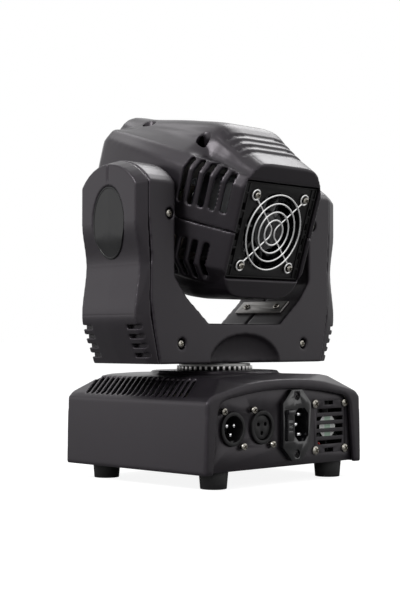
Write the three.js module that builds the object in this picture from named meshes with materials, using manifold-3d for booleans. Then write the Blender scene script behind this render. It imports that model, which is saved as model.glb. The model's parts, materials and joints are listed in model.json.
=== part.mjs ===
// Moving head spot light: a base with a pan bearing, a yoke that turns on it,
// and a head that tilts in the yoke.
// Millimetres, Z up, the connector side faces +Y, the tilt axis runs along X,
// the base shell starts at Z = 0.
import * as THREE from "three";
import { ConvexGeometry } from "three/addons/geometries/ConvexGeometry.js";
import { mergeVertices } from "three/addons/utils/BufferGeometryUtils.js";
import Module from "manifold-3d";

const wasm = await Module();
wasm.setup();

// General fits and wall sizes
const fit = 0.3;
const overrun = 5;
const wall = 2.5;
const plateThickness = 2;
const boardThickness = 1.6;

// Screws
const screwHead = 3;
const screwHeadHeight = 2;
const screwShank = 1.5;
const screwLength = 8;
const crossWidth = 0.9;
const crossDepth = 1;

// Round panel sockets
const socketHeight = 29;
const flangeHalfWidth = 13;
const flangeHalfHeight = 15.5;
const flangeCorner = 3;
const flangeThickness = 2;
const socketBarrel = 11.8;
const socketBarrelDepth = 22;
const socketRim = 11.4;
const socketRimHeight = 1.6;
const socketBore = 8.9;
const socketBoreDepth = 15;
const socketPin = 1.2;
const socketPinLength = 12;
const socketPinCircle = 4;
const insertRadius = 8;
const insertHole = 1.5;
const keyWidth = 3;
const flangeScrewX = 9.5;
const flangeScrewZ = 12;

// Mains inlet with its fuse drawer
const inletHeight = 29.2;
const inletHalfWidth = 14.5;
const inletHalfHeight = 24.5;
const inletThickness = 3;
const inletOutlineShares = [
  [1, -0.62], [1, 0.62], [0.36, 1], [-0.36, 1], [-1, 0.62], [-1, -0.62], [-0.36, -1], [0.36, -1],
];
const inletBodyHalfWidth = 12.8;
const inletBodyHalfHeight = 14.6;
const inletBodyDepth = 24;
const inletScrewZ = 20;
const inletScrewRadius = 3;
const recessShift = 4.6;
const recessHalfWidth = 7.2;
const recessHalfHeight = 11.6;
const recessCut = 4;
const recessDepth = 17;
const bladeThickness = 1.8;
const bladeHeight = 4;
const bladeLength = 13;
const bladeSpacing = 7;
const bladeStep = 2;
const drawerShift = 8.4;
const drawerHalfWidth = 3.4;
const drawerHalfHeight = 10.5;
const drawerDepth = 15;
const drawerStandOff = 1.8;
const drawerLip = 1.2;
const drawerLipHeight = 3;

// Base fan
const baseFanHeight = 26.5;
const baseFanHalf = 20;
const baseFanDepth = 10;
const baseFanWall = 1.4;
const baseFanTip = 0.6;
const baseFanBore = baseFanHalf - baseFanWall;
const baseFanHub = 8.5;
const baseFanBladeRadius = baseFanBore - baseFanTip;
const baseFanScrew = 16;
const fanBladeThickness = 1.5;
const grilleSlotCount = 7;
const grilleSlotPitch = 4.4;
const grilleSlotHeight = 2.4;
const grilleRadius = 16.5;

// The row of sockets, inlet and fan sets the width of the rear arch and of the base
const rowStartGap = 8.2;
const socketGap = 2.9;
const inletGap = 5.6;
const fanGap = 4.7;
const rowEndGap = 3.6;
const rearArchHalfWidth = (rowStartGap + 4 * flangeHalfWidth + socketGap + inletGap
  + 2 * inletHalfWidth + fanGap + 2 * baseFanHalf + rowEndGap) / 2;
const maleSocketX = rearArchHalfWidth - rowStartGap - flangeHalfWidth;
const femaleSocketX = maleSocketX - 2 * flangeHalfWidth - socketGap;
const inletX = femaleSocketX - flangeHalfWidth - inletGap - inletHalfWidth;
const baseFanX = inletX - inletHalfWidth - fanGap - baseFanHalf;
const inletMargin = 0.8;
const rearArchHeight = inletHeight + inletHalfHeight + inletMargin;
const rearArchShares = [
  [1, 0], [0.945, 0.661], [0.932, 0.771], [0.89, 0.853], [0.822, 0.894], [0.548, 0.95],
  [0.274, 0.987], [0, 1],
];
const panelFlange = 1.5;
const rearRim = 3.7;

// Base shell
const archSide = 7.5;
const archBand = 10;
const seatRise = 1.9;
const baseHalfWidth = rearArchHalfWidth + archSide;
const baseHalfDepth = 71;
const baseHeight = rearArchHeight + archBand;
const seatHeight = baseHeight + seatRise;
const seatHalfWidth = 46;
const baseCorner = 1.4;
const plateCorner = 4;
const baseEndLength = 12;
const baseProfileShares = [
  [1, 0], [0.98, 0.73], [0.945, 0.785], [0.7, 0.968], [0.6, 0.985], [0.3, 0.998], [0, 1],
];
const baseEndShares = [
  [1, 0], [0.98, 0.73], [0.935, 0.785], [0.6, 0.873], [0.48, 0.905], [0.25, 0.935], [0, 0.944],
];

// Cooling slots on the base shoulders
const shoulderSlotCount = 19;
const shoulderSlotPitch = 5.5;
const shoulderSlotWidth = 2.5;
const shoulderSlotLength = 21;
const shoulderSlotInset = 14.5;
const shoulderSlotShift = -7.4;
const shoulderSlotTurn = THREE.MathUtils.degToRad(24);

// Bottom plate, mounting pad and feet
const bottomPlateLevel = 1;
const padHalfWidth = 30;
const padHalfDepth = 22;
const padBolt = 5.3;
const footInsetX = 21.5;
const footInsetY = 17;
const footX = baseHalfWidth - footInsetX;
const footY = baseHalfDepth - footInsetY;
const footShift = 1.4;
const footHeight = 10.6;
const footTopRadius = 9.9;
const footBottomRadius = 8.9;
const footWellRadius = 4;
const footWellDepth = 4.5;
const footPegRadius = 2.5;

// Menu side of the base
const windowX = 26;
const windowHeight = 32;
const windowHalfWidth = 21;
const windowHalfHeight = 9;
const windowRebate = 1.2;
const buttonCount = 4;
const buttonStart = 10;
const buttonPitch = 12.5;
const buttonRadius = 4.2;
const buttonProud = 2;
const buttonFlange = 1;
const buttonStem = 2.2;
const buttonTravel = 1.2;

// Boards and posts inside the base
const controlInset = 25.5;
const controlHalfWidth = baseHalfWidth - controlInset;
const controlHalfHeight = 15;
const controlGap = 9;
const supplyX = 30;
const supplyY = 8;
const supplyHalfWidth = 34;
const supplyHalfDepth = 25;
const postHeight = 5;
const postRadius = 3;
const coilSize = 20;
const capRadius = 7;
const capHeight = 20;

// Pan bearing and drive
const ringRadius = 27.4;
const ringGap = 0.4;
const ringHeight = 4.8;
const ringTop = seatHeight + ringHeight;
const ringBandHeight = 2;
const ringBore = 20;
const ringRecess = 2.6;
const gearTeeth = 40;
const toothHeight = 1.5;
const toothFootShare = 0.58;
const toothTipShare = 0.28;
const pinionTeeth = 10;
const pinionRoot = 5.75;
const pinionOffset = 33.4;
const pinionTurn = THREE.MathUtils.degToRad(198);
const panShaftRadius = 10;
const panShaftBore = 7;
const panCollarRadius = 13;
const panCollarHeight = 3;
const panShaftDrop = 10.4;
const panShaftFoot = seatHeight - panShaftDrop;
const panMotorHalf = 11.5;
const panMotorHeight = 16;
const motorShaft = 2.5;

// Fan end of the head
const fanCentre = 2;
const fanHalf = 30;
const fanDepth = 15;
const fanWall = 1.6;
const fanTip = 1;
const fanBore = fanHalf - fanWall;
const fanHub = 14;
const fanBladeRadius = fanBore - fanTip;
const fanBladeCount = 7;
const fanBladeTurn = THREE.MathUtils.degToRad(36);
const fanScrewInset = 5;
const fanScrew = fanHalf - fanScrewInset;
const fanRecessMargin = 7.7;
const fanRecessHalf = fanHalf + fanRecessMargin;
const fanRecessDepth = 2.6;
const fanRecessCentre = 2.2;
const fanRecessRise = 4.6;
const fanRecessHalfHeight = fanHalf + fanRecessRise;
const bezelThickness = 2.4;
const bezelNotchCount = 4;
const bezelNotchHeight = 5;
const bezelNotchPitch = 11;
const bezelNotchWidth = 3;
const wireRadius = 0.8;
const guardRingShares = [1.032, 0.8, 0.568, 0.344];
const guardBendShares = [[0.97, 0.93], [0.24, 0.26], [0.1, 0.12], [0.07, 0]];
const eyeletRadius = 3.4;

// Head: stations along the optical axis, rear positive
const restTilt = THREE.MathUtils.degToRad(18.1);
const headLength = 139.5;
const headFront = -79;
const headRear = headFront + headLength;
const headRim = 2.94;
const headStationShares = [0, 0.086, 0.423, 0.71, 0.82, 0.92, 1];
const headWidthShares = [0.785, 0.912, 1, 0.95, 0.855, 0.73, 0.635];
const headHalfWidth = (fanRecessHalf + headRim) / headWidthShares[headWidthShares.length - 1];
const headTop = 44;
const headBottom = -41;
const headTopShares = [0.82, 0.985, 1, 0.98, 0.96, 0.92, 0.89];
const headBottomShares = [0.8, 0.95, 1, 1, 1, 0.98, 0.95];
const headCornerShares = [
  [1, 0.16], [1, 0.9], [0.9, 1], [0, 1], [-0.9, 1], [-1, 0.9], [-1, 0.16], [-0.78, 0], [0.78, 0],
];
const humpHalfWidth = 45;
const humpBase = 36;
const humpHeight = 32;
const headCeiling = humpBase + humpHeight + overrun;
const humpStationShares = [0, 0.093, 0.45, 0.667, 0.753, 0.83, 0.91, 1];
const humpWidthShares = [0.898, 0.936, 0.998, 0.949, 0.915, 0.882, 0.877, 0.843];
const humpHeightShares = [0.551, 0.593, 0.874, 0.997, 0.847, 0.703, 0.544, 0.415];
const bellyBase = -32;
const bellyDepth = 26;
const bellyWidthShares = [0.8, 0.9, 1, 1, 0.98, 0.94, 0.9, 0.84];
const bellyDepthShares = [0.46, 0.7, 0.96, 1, 0.94, 0.83, 0.68, 0.52];
const humpOutlineShares = [
  [1, 0], [0.93, 0.4], [0.84, 0.7], [0.68, 0.92], [0.4, 1], [-0.4, 1], [-0.68, 0.92],
  [-0.84, 0.7], [-0.93, 0.4], [-1, 0],
];
const headWall = 2.6;

// Slots, wells and grooves of the head
const sideSlotWidth = 3.8;
const sideSlotPitch = 7.2;
const upperSlotCount = 5;
const upperSlotInset = 38.5;
const upperSlotStart = headRear - upperSlotInset;
const upperSlotBottom = 11;
const upperSlotTop = 42;
const lowerSlotCount = 4;
const lowerSlotInset = 36.5;
const lowerSlotStart = headRear - lowerSlotInset;
const lowerSlotBottom = -38;
const lowerSlotTop = -12;
const sideSlotInner = 40;
const grooveCount = 4;
const grooveInset = 35.2;
const grooveStart = headRear - grooveInset;
const groovePitch = 6;
const grooveWidth = 1.8;
const grooveHalf = 31.7;
const grooveDepth = 0.8;
const headWellRadius = 4.6;
const frontWellX = 34;
const frontWellInset = 27;
const frontWellY = headFront + frontWellInset;
const rearWellX = 40;
const rearWellY = 12;
const wellStart = 50;

// Yoke: the inner width follows the head, the rise follows the swing of the head's front
const headGap = 5.04;
const armThickness = 24.26;
const swingGap = 28.7;
const yokeGap = 0.6;
const archRise = 30.5;
const armInner = headHalfWidth + headGap;
const yokeHalfWidth = armInner + armThickness;
const yokeBottom = ringTop + yokeGap;
const tiltHeight = yokeBottom - headFront + swingGap;
const yokeTop = tiltHeight + archRise;
const yokeHalfDepth = 31;
const yokeOuterShares = [
  [0.89, 0], [0.937, 0.139], [0.981, 0.3126], [0.974, 0.53], [0.999, 0.718], [1, 0.855], [1, 1],
];
const yokeInnerShares = [[1, 1], [1, 0.4284], [0.8405, 0.327], [0.5297, 0.2005]];
const archRadius = 38.7;
const archSteps = 12;
const armAxleHole = 15;
const yokeSeam = -4;
const scoopHalfWidth = 36;
const scoopHeight = 20.5;
const scoopDepth = 5;
const lowScrewInset = 6.34;
const lowScrewRise = 13.6;
const highScrewInset = 5.06;
const highScrewDrop = 6.1;
const wellRadius = 3.8;
const wellDepth = 9;
const wellFloor = 1.6;

// Outer covers of the yoke arms, from the bottom station to the arch
const coverRise = 0.2;
const coverBottom = yokeBottom + coverRise;
const coverStationShares = [0, 0.33, 0.67, 0.97, 1];
const coverBodyShares = [0.8938, 0.9767, 0.9822, 1.0032, 1.0032];
const coverOuterShares = [0.9856, 1.1039, 1.063, 1.1061, 1.1061];
const coverReach = yokeHalfWidth * coverOuterShares[coverOuterShares.length - 1];
const coverFaceInset = 3.5;
const coverFaceDrop = 3.4;
const coverFaceHalf = yokeHalfDepth - coverFaceInset;
const coverFaceTop = yokeTop - coverFaceDrop;
const coverFaceRadius = 33.3;
const coverLip = 0.5;
const ventCount = 4;
const ventRise = 6;
const ventPitch = 6.3;
const ventHeight = 2.4;
const ventInner = 17.5;
const ventDepth = 3.2;

// Oval badges
const badgeDrop = 12.5;
const badgeHeight = tiltHeight - badgeDrop;
const badgeHalfHeight = 25;
const badgeHalfWidth = 16;
const badgeRecess = 1.4;
const badgeThickness = 0.8;

// Strap plate on the slope of one arm
const strapInset = 17.54;
const strapX = armInner - strapInset;
const strapHalfLength = 23;
const strapHalfWidth = 6.6;
const strapThickness = 1.4;
const strapScrewY = 15;

// Tilt drive
const axleRadius = 8;
const axleBore = 5;
const axleReach = 12;
const axleInner = headHalfWidth - axleReach;
const axleEndGap = 4.8;
const axleOuter = yokeHalfWidth - axleEndGap;
const axleFlange = 16;
const axleFlangeThickness = 2.4;
const bearingRadius = 14.6;
const bearingWidth = 6;
const bearingProud = 1.64;
const bearingStart = armInner - bearingProud;
const beltWidth = 6;
const beltInset = 11.46;
const beltStart = armInner + beltInset;
const tiltPulleyRadius = 17.5;
const motorPulleyRadius = 7;
const beltThickness = 1.6;
const motorDrop = 66.5;
const motorAxisHeight = tiltHeight - motorDrop;
const tiltMotorHalf = 13.5;
const tiltMotorLength = 9.5;
const beltGap = 0.8;
const tiltMotorStart = beltStart - tiltMotorLength - beltGap;

// Optics inside the head
const opticsHeight = 9;
const lensRadius = 30;
const lensThickness = 6;
const lensSteps = 6;
const lensRim = 3;
const barrelRadius = lensRadius + lensRim;
const frontRimRadius = barrelRadius + lensRim;
const frontRimHeight = 3;
const barrelWall = 2;
const barrelRear = -44;
const wheelRadius = 28;
const wheelThickness = 1.6;
const wheelDrop = 21;
const wheelHoleCount = 8;
const wheelHoleRadius = 5;
const spindleRadius = 3;
const goboStation = -32;
const colourStation = -24;
const chassisStation = -28;
const chassisTop = 40;
const chassisAperture = 12;
const ledStation = 0;
const ledHalf = 21;
const ledDome = 6;
const sinkHalf = 28;
const sinkFins = 9;
const sinkFloor = 5;
const sinkFin = 2;

// Faceting
const roundSides = 24;
const smallSides = 12;
const wireSides = 5;
const wireSteps = 22;
const eyeletSteps = 10;
const bendSteps = 14;
const tinySides = 8;
const domeSteps = 6;

// Materials
const paint = (color, roughness, metalness = 0) =>
  new THREE.MeshStandardMaterial({ color, roughness, metalness });
const charcoal = paint(0x38363a, 0.48);
const darkPlastic = paint(0x1d1c1f, 0.55);
const glossBlack = paint(0x111114, 0.25);
const rubber = paint(0x17171a, 0.85);
const steel = paint(0xb9bcc0, 0.3, 1);
const greyMetal = paint(0x77787c, 0.42, 0.9);
const aluminium = paint(0xa9adb3, 0.4, 0.9);
const brass = paint(0xc29a4b, 0.35, 0.9);
const boardGreen = paint(0x2c5a3c, 0.6);
const glassLook = paint(0xdfe8ee, 0.08);
const displayLook = paint(0x0c1430, 0.15);
const badgeLook = paint(0x1a191c, 0.35);
const hubLook = paint(0xcfd8cb, 0.5);

// Turns a geometry into a solid that can be cut and joined
function solid(geometry) {
  const bare = geometry.clone();
  bare.deleteAttribute("normal");
  bare.deleteAttribute("uv");
  const merged = mergeVertices(bare, 1e-4);
  return new wasm.Manifold(new wasm.Mesh({
    numProp: 3,
    vertProperties: new Float32Array(merged.attributes.position.array),
    triVerts: new Uint32Array(merged.index.array),
  }));
}

const join = (first, ...others) => others.reduce((all, next) => all.add(next), first);
const cut = (first, ...others) => others.reduce((all, next) => all.subtract(next), first);
const common = (first, ...others) => others.reduce((all, next) => all.intersect(next), first);

// A named mesh from a solid, with flat faces kept flat
function part(name, body, material) {
  const made = body.getMesh();
  const geometry = new THREE.BufferGeometry();
  geometry.setAttribute("position", new THREE.BufferAttribute(new Float32Array(made.vertProperties), 3));
  geometry.setIndex(new THREE.BufferAttribute(new Uint32Array(made.triVerts), 1));
  const flat = geometry.toNonIndexed();
  flat.computeVertexNormals();
  const mesh = new THREE.Mesh(flat, material);
  mesh.name = name;
  return mesh;
}

// The same piece again under another name and at another place
function copyOf(mesh, name, x, y, z) {
  const copy = mesh.clone();
  copy.name = name;
  copy.position.set(x, y, z);
  return copy;
}

const shapeOf = (points) => new THREE.Shape(points.map(([x, y]) => new THREE.Vector2(x, y)));
const scaled = (shares, width, height) => shares.map(([x, y]) => [x * width, y * height]);
const shifted = (points, dx, dy) => points.map(([x, y]) => [x + dx, y + dy]);

// A half outline, given from the bottom right upwards, with its mirror image added
function mirrored(half) {
  const back = half.filter(([x]) => x > 0).map(([x, y]) => [-x, y]).reverse();
  return [...half, ...back];
}

// Moves each edge of an outline inwards by the same distance
function inset(points, distance) {
  const area = points.reduce((sum, [x, y], i) => {
    const [nx, ny] = points[(i + 1) % points.length];
    return sum + x * ny - nx * y;
  }, 0);
  const side = Math.sign(area);
  return points.map(([x, y], i) => {
    const before = points[(i + points.length - 1) % points.length];
    const after = points[(i + 1) % points.length];
    const a = new THREE.Vector2(x - before[0], y - before[1]).normalize();
    const b = new THREE.Vector2(after[0] - x, after[1] - y).normalize();
    const normal = new THREE.Vector2(-a.y - b.y, a.x + b.x).normalize();
    const reach = distance / normal.dot(new THREE.Vector2(-a.y, a.x));
    return [x + side * normal.x * reach, y + side * normal.y * reach];
  });
}

// Extrusions along the three axes: outlines are XY, XZ and YZ
function along(points, start, end, right, up, out, holes = []) {
  const shape = points instanceof THREE.Shape ? points : shapeOf(points);
  holes.forEach((hole) => shape.holes.push(new THREE.Path(shapeOf(hole).getPoints())));
  const geometry = new THREE.ExtrudeGeometry(shape, { depth: end - start, bevelEnabled: false });
  geometry.translate(0, 0, start);
  return solid(geometry.applyMatrix4(new THREE.Matrix4().makeBasis(right, up, out)));
}
const axisX = new THREE.Vector3(1, 0, 0);
const axisY = new THREE.Vector3(0, 1, 0);
const axisZ = new THREE.Vector3(0, 0, 1);
const backY = new THREE.Vector3(0, -1, 0);
const alongZ = (points, start, end) => along(points, start, end, axisX, axisY, axisZ);
const alongY = (points, start, end) => along(points, -end, -start, axisX, axisZ, backY);
const alongX = (points, start, end) => along(points, start, end, axisY, axisZ, axisX);

const box = (x0, x1, y0, y1, z0, z1) =>
  solid(new THREE.BoxGeometry(x1 - x0, y1 - y0, z1 - z0)
    .translate((x0 + x1) / 2, (y0 + y1) / 2, (z0 + z1) / 2));

// Round bars along the three axes, given by centre and ends
const rodZ = (x, y, radius, start, end, sides = roundSides, topRadius = radius) =>
  solid(new THREE.CylinderGeometry(topRadius, radius, end - start, sides)
    .rotateX(Math.PI / 2).translate(x, y, (start + end) / 2));
const rodY = (x, z, radius, start, end, sides = roundSides) =>
  solid(new THREE.CylinderGeometry(radius, radius, end - start, sides).translate(x, (start + end) / 2, z));
const rodX = (y, z, radius, start, end, sides = roundSides) =>
  solid(new THREE.CylinderGeometry(radius, radius, end - start, sides)
    .rotateZ(Math.PI / 2).translate((start + end) / 2, y, z));

const circle = (radius, sides = roundSides) => Array.from({ length: sides }, (_, i) => {
  const angle = 2 * Math.PI * i / sides;
  return [radius * Math.cos(angle), radius * Math.sin(angle)];
});

// A toothed outline with flat topped teeth; the widths are shares of the pitch
function toothed(teeth, root, height, footShare = toothFootShare, tipShare = toothTipShare) {
  const stepShares = [(1 - footShare) / 2, (1 - tipShare) / 2, (1 + tipShare) / 2, (1 + footShare) / 2];
  const raised = [0, 1, 1, 0];
  return Array.from({ length: teeth }, (_, i) => stepShares.map((share, k) => {
    const angle = 2 * Math.PI * (i + share) / teeth;
    const radius = root + height * raised[k];
    return [radius * Math.cos(angle), radius * Math.sin(angle)];
  })).flat();
}

// A rectangle with cut corners
const clipped = (halfWidth, halfHeight, corner) => [
  [halfWidth, -halfHeight + corner], [halfWidth, halfHeight - corner],
  [halfWidth - corner, halfHeight], [corner - halfWidth, halfHeight],
  [-halfWidth, halfHeight - corner], [-halfWidth, corner - halfHeight],
  [corner - halfWidth, -halfHeight], [halfWidth - corner, -halfHeight],
];

// A solid that passes through convex sections one after another
function loft(sections) {
  const hulls = sections.slice(1).map((section, i) =>
    solid(new ConvexGeometry([...sections[i], ...section])));
  return join(...hulls);
}

// The base shell with its rear opening, shoulder slots, menu openings and pan seat
const rearArch = mirrored(scaled(rearArchShares, rearArchHalfWidth, rearArchHeight));
const panelOuter = baseHalfDepth - rearRim - fit;
const panelInner = panelOuter - plateThickness;

function shoulderSlots(side) {
  return Array.from({ length: shoulderSlotCount }, (_, i) => {
    const y = shoulderSlotShift + (i - (shoulderSlotCount - 1) / 2) * shoulderSlotPitch;
    const geometry = new THREE.BoxGeometry(shoulderSlotLength, shoulderSlotWidth, baseHeight)
      .rotateZ(side * shoulderSlotTurn)
      .translate(side * (baseHalfWidth - shoulderSlotInset), y, baseHeight);
    return solid(geometry);
  });
}

function buttonX(i) {
  return -buttonStart - i * buttonPitch;
}

// The outer form of the base, or a smaller one inside it, tapered towards both ends
function baseForm(trim) {
  const points = [[baseProfileShares, baseHalfDepth - baseEndLength], [baseEndShares, baseHalfDepth - trim]]
    .flatMap(([shares, y]) => mirrored(scaled(shares, baseHalfWidth - trim, baseHeight - trim))
      .flatMap(([x, z]) => [new THREE.Vector3(x, y, z), new THREE.Vector3(x, -y, z)]));
  return solid(new ConvexGeometry(points));
}

function baseCover() {
  const plan = clipped(baseHalfWidth, baseHalfDepth, baseCorner);
  const outer = common(baseForm(0), alongZ(plan, 0, baseHeight + overrun));
  const seat = rodZ(0, 0, seatHalfWidth, baseHeight / 2, seatHeight);
  const rearLimit = baseHalfDepth - rearRim;
  const inside = join(
    common(baseForm(wall),
      box(-baseHalfWidth, baseHalfWidth, -baseHalfDepth, rearLimit, 0, baseHeight)),
    box(wall - baseHalfWidth, baseHalfWidth - wall, wall - baseHalfDepth, rearLimit, -overrun, wall));
  const opening = alongY([...rearArch, [-rearArchHalfWidth, -overrun], [rearArchHalfWidth, -overrun]],
    panelInner, baseHalfDepth + overrun);
  const bore = rodZ(0, 0, panShaftRadius + fit, 0, seatHeight + overrun);
  const window = box(windowX - windowHalfWidth, windowX + windowHalfWidth,
    -baseHalfDepth - overrun, wall - baseHalfDepth + overrun,
    windowHeight - windowHalfHeight, windowHeight + windowHalfHeight);
  const buttons = Array.from({ length: buttonCount }, (_, i) =>
    rodY(buttonX(i), windowHeight, buttonRadius + fit, -baseHalfDepth - overrun,
      wall - baseHalfDepth + overrun, smallSides));
  return cut(join(outer, seat), inside, opening, bore, window, ...buttons,
    ...shoulderSlots(1), ...shoulderSlots(-1));
}

// The plate that closes the base, with posts for the supply board and a pad for a clamp
function bottomPlate() {
  const plan = clipped(baseHalfWidth - wall - fit, baseHalfDepth - wall - rearRim, plateCorner);
  const plate = alongZ(plan, bottomPlateLevel, bottomPlateLevel + plateThickness);
  const pad = box(-padHalfWidth, padHalfWidth, -padHalfDepth, padHalfDepth,
    0, bottomPlateLevel + plateThickness);
  const floor = bottomPlateLevel + plateThickness - fit;
  const posts = [-1, 1].flatMap((sx) => [-1, 1].map((sy) =>
    rodZ(supplyX + sx * (supplyHalfWidth - postRadius), supplyY + sy * (supplyHalfDepth - postRadius),
      postRadius, floor, floor + postHeight, smallSides)));
  const uprights = [-1, 1].map((side) =>
    box(side * controlHalfWidth - postRadius, side * controlHalfWidth + postRadius,
      -baseHalfDepth + wall + controlGap + boardThickness + fit,
      -baseHalfDepth + wall + controlGap + boardThickness + fit + postRadius,
      floor, windowHeight));
  const bolts = [-1, 1].map((side) =>
    rodZ(side * padHalfWidth / 2, 0, padBolt / 2, -overrun, plateThickness + overrun, tinySides));
  const pegs = [-1, 1].flatMap((sx) => [-1, 1].map((sy) =>
    rodZ(sx * footX - footShift, sy * footY + footShift, footPegRadius + fit, -overrun,
      plateThickness + overrun, tinySides)));
  return cut(join(plate, pad, ...posts, ...uprights), ...bolts, ...pegs);
}

function foot() {
  const top = bottomPlateLevel - fit;
  const body = rodZ(0, 0, footBottomRadius, -footHeight, top, roundSides, footTopRadius);
  const peg = rodZ(0, 0, footPegRadius, -fit, bottomPlateLevel + plateThickness + fit, tinySides);
  const well = rodZ(0, 0, footWellRadius, -footHeight - overrun, footWellDepth - footHeight, smallSides);
  return cut(join(body, peg), well);
}

// The recessed rear panel with the openings for its sockets, inlet and fan
function grilleSlots(x, z, radius, count, pitch, height, start, end) {
  return Array.from({ length: count }, (_, i) => {
    const level = (i - (count - 1) / 2) * pitch;
    const half = Math.sqrt(radius * radius - level * level);
    return box(x - half, x + half, start, end, z + level - height / 2, z + level + height / 2);
  });
}

function rearPanel() {
  const flangeArch = mirrored(scaled(rearArchShares, rearArchHalfWidth + panelFlange,
    rearArchHeight + panelFlange));
  const plate = alongY(flangeArch, panelInner, panelOuter);
  const lifted = cut(plate, box(-baseHalfWidth, baseHalfWidth, -baseHalfDepth, baseHalfDepth,
    -overrun, bottomPlateLevel + plateThickness + fit));
  const skirt = box(fit - rearArchHalfWidth, rearArchHalfWidth - fit, panelInner + fit, panelOuter,
    bottomPlateLevel, footHeight);
  const start = panelInner - overrun;
  const end = panelOuter + overrun;
  const sockets = [maleSocketX, femaleSocketX].map((x) =>
    rodY(x, socketHeight, socketRim + fit, start, end));
  const inlet = box(inletX - inletBodyHalfWidth - fit, inletX + inletBodyHalfWidth + fit, start, end,
    inletHeight - inletBodyHalfHeight - fit, inletHeight + inletBodyHalfHeight + fit);
  const slots = grilleSlots(baseFanX, baseFanHeight, grilleRadius, grilleSlotCount, grilleSlotPitch,
    grilleSlotHeight, start, end);
  const screws = [maleSocketX, femaleSocketX].flatMap((x) => [-1, 1].map((side) =>
    rodY(x + side * flangeScrewX, socketHeight + side * flangeScrewZ, screwShank + fit, start, end,
      tinySides)));
  return cut(join(lifted, skirt), ...sockets, inlet, ...slots, ...screws);
}

// Round sockets, flanged behind the panel: the male one has pins in its bore,
// the female one a block with holes
const flangeFront = -plateThickness - fit;
const flangeBack = flangeFront - flangeThickness;
const pinPlaces = [90, 210, 330].map((degrees) => THREE.MathUtils.degToRad(degrees))
  .map((angle) => [socketPinCircle * Math.cos(angle), socketPinCircle * Math.sin(angle)]);

function socketBody() {
  const flange = alongY(clipped(flangeHalfWidth, flangeHalfHeight, flangeCorner), flangeBack, flangeFront);
  const barrel = rodY(0, 0, socketBarrel, -socketBarrelDepth, flangeFront);
  const rim = rodY(0, 0, socketRim, flangeBack, socketRimHeight);
  const bore = rodY(0, 0, socketBore, socketRimHeight - socketBoreDepth, overrun);
  const screws = [-1, 1].map((side) =>
    rodY(side * flangeScrewX, side * flangeScrewZ, screwShank + fit, flangeBack - overrun, overrun,
      tinySides));
  return cut(join(flange, barrel, rim), bore, ...screws);
}

function maleSocket() {
  const floor = socketRimHeight - socketBoreDepth - fit;
  const pins = pinPlaces.map(([x, z]) => rodY(x, -z, socketPin, floor, floor + socketPinLength, tinySides));
  const key = box(-keyWidth / 2, keyWidth / 2, floor, 0, -socketBore - fit, -socketBore + socketPin);
  return join(socketBody(), ...pins, key);
}

function femaleSocket() {
  const floor = socketRimHeight - socketBoreDepth - fit;
  const insert = rodY(0, 0, insertRadius, floor, fit);
  const holes = pinPlaces.map(([x, z]) =>
    rodY(x, -z, insertHole, -socketPinLength, overrun, tinySides));
  const latch = box(-keyWidth, keyWidth, 0, socketRimHeight, socketBore - fit, socketRim - fit);
  return join(socketBody(), cut(insert, ...holes), latch);
}

// Pan head screw with a cross recess, its head on +Y and its seat at Y = 0
function screw(length) {
  const head = rodY(0, 0, screwHead, 0, screwHeadHeight, smallSides);
  const shank = rodY(0, 0, screwShank, -length, fit, tinySides);
  const top = screwHeadHeight + overrun;
  const arm = screwHead * 2 / 3;
  const bars = [
    box(-arm, arm, screwHeadHeight - crossDepth, top, -crossWidth / 2, crossWidth / 2),
    box(-crossWidth / 2, crossWidth / 2, screwHeadHeight - crossDepth, top, -arm, arm),
  ];
  return cut(join(head, shank), ...bars);
}

// Mains inlet: a pointed flange, a recess with three blades and a pocket for the fuse drawer
function mainsInlet() {
  const flange = alongY(scaled(inletOutlineShares, inletHalfWidth, inletHalfHeight), 0, inletThickness);
  const body = box(-inletBodyHalfWidth, inletBodyHalfWidth, -inletBodyDepth, fit,
    -inletBodyHalfHeight, inletBodyHalfHeight);
  const floor = inletThickness - recessDepth;
  const recess = alongY(shifted(clipped(recessHalfWidth, recessHalfHeight, recessCut), -recessShift, 0),
    floor, inletThickness + overrun);
  const pocket = box(drawerShift - drawerHalfWidth - fit, drawerShift + drawerHalfWidth + fit,
    inletThickness - drawerDepth - fit, inletThickness + overrun,
    -drawerHalfHeight - fit, drawerHalfHeight + fit);
  const screws = [-1, 1].map((side) =>
    rodY(0, side * inletScrewZ, inletScrewRadius, inletThickness / 2, inletThickness + overrun, smallSides));
  const blades = [-1, 0, 1].map((k) => {
    const x = -recessShift + (k === 0 ? bladeStep : -bladeStep);
    const z = k * bladeSpacing;
    return box(x - bladeHeight / 2, x + bladeHeight / 2, floor - fit, floor + bladeLength,
      z - bladeThickness / 2, z + bladeThickness / 2);
  });
  return join(cut(join(flange, body), recess, pocket, ...screws), ...blades);
}

function fuseDrawer() {
  const body = box(-drawerHalfWidth, drawerHalfWidth, -drawerDepth, drawerStandOff,
    -drawerHalfHeight, drawerHalfHeight);
  const lip = box(-drawerHalfWidth, drawerHalfWidth, drawerStandOff - fit, drawerStandOff + drawerLip,
    drawerHalfHeight - drawerLipHeight, drawerHalfHeight);
  const pocket = box(-drawerHalfWidth + drawerLip, drawerHalfWidth + overrun,
    drawerLip - drawerDepth, -drawerLip, drawerLip - drawerHalfHeight, drawerHalfHeight - drawerLip);
  return cut(join(body, lip), pocket);
}

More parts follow.
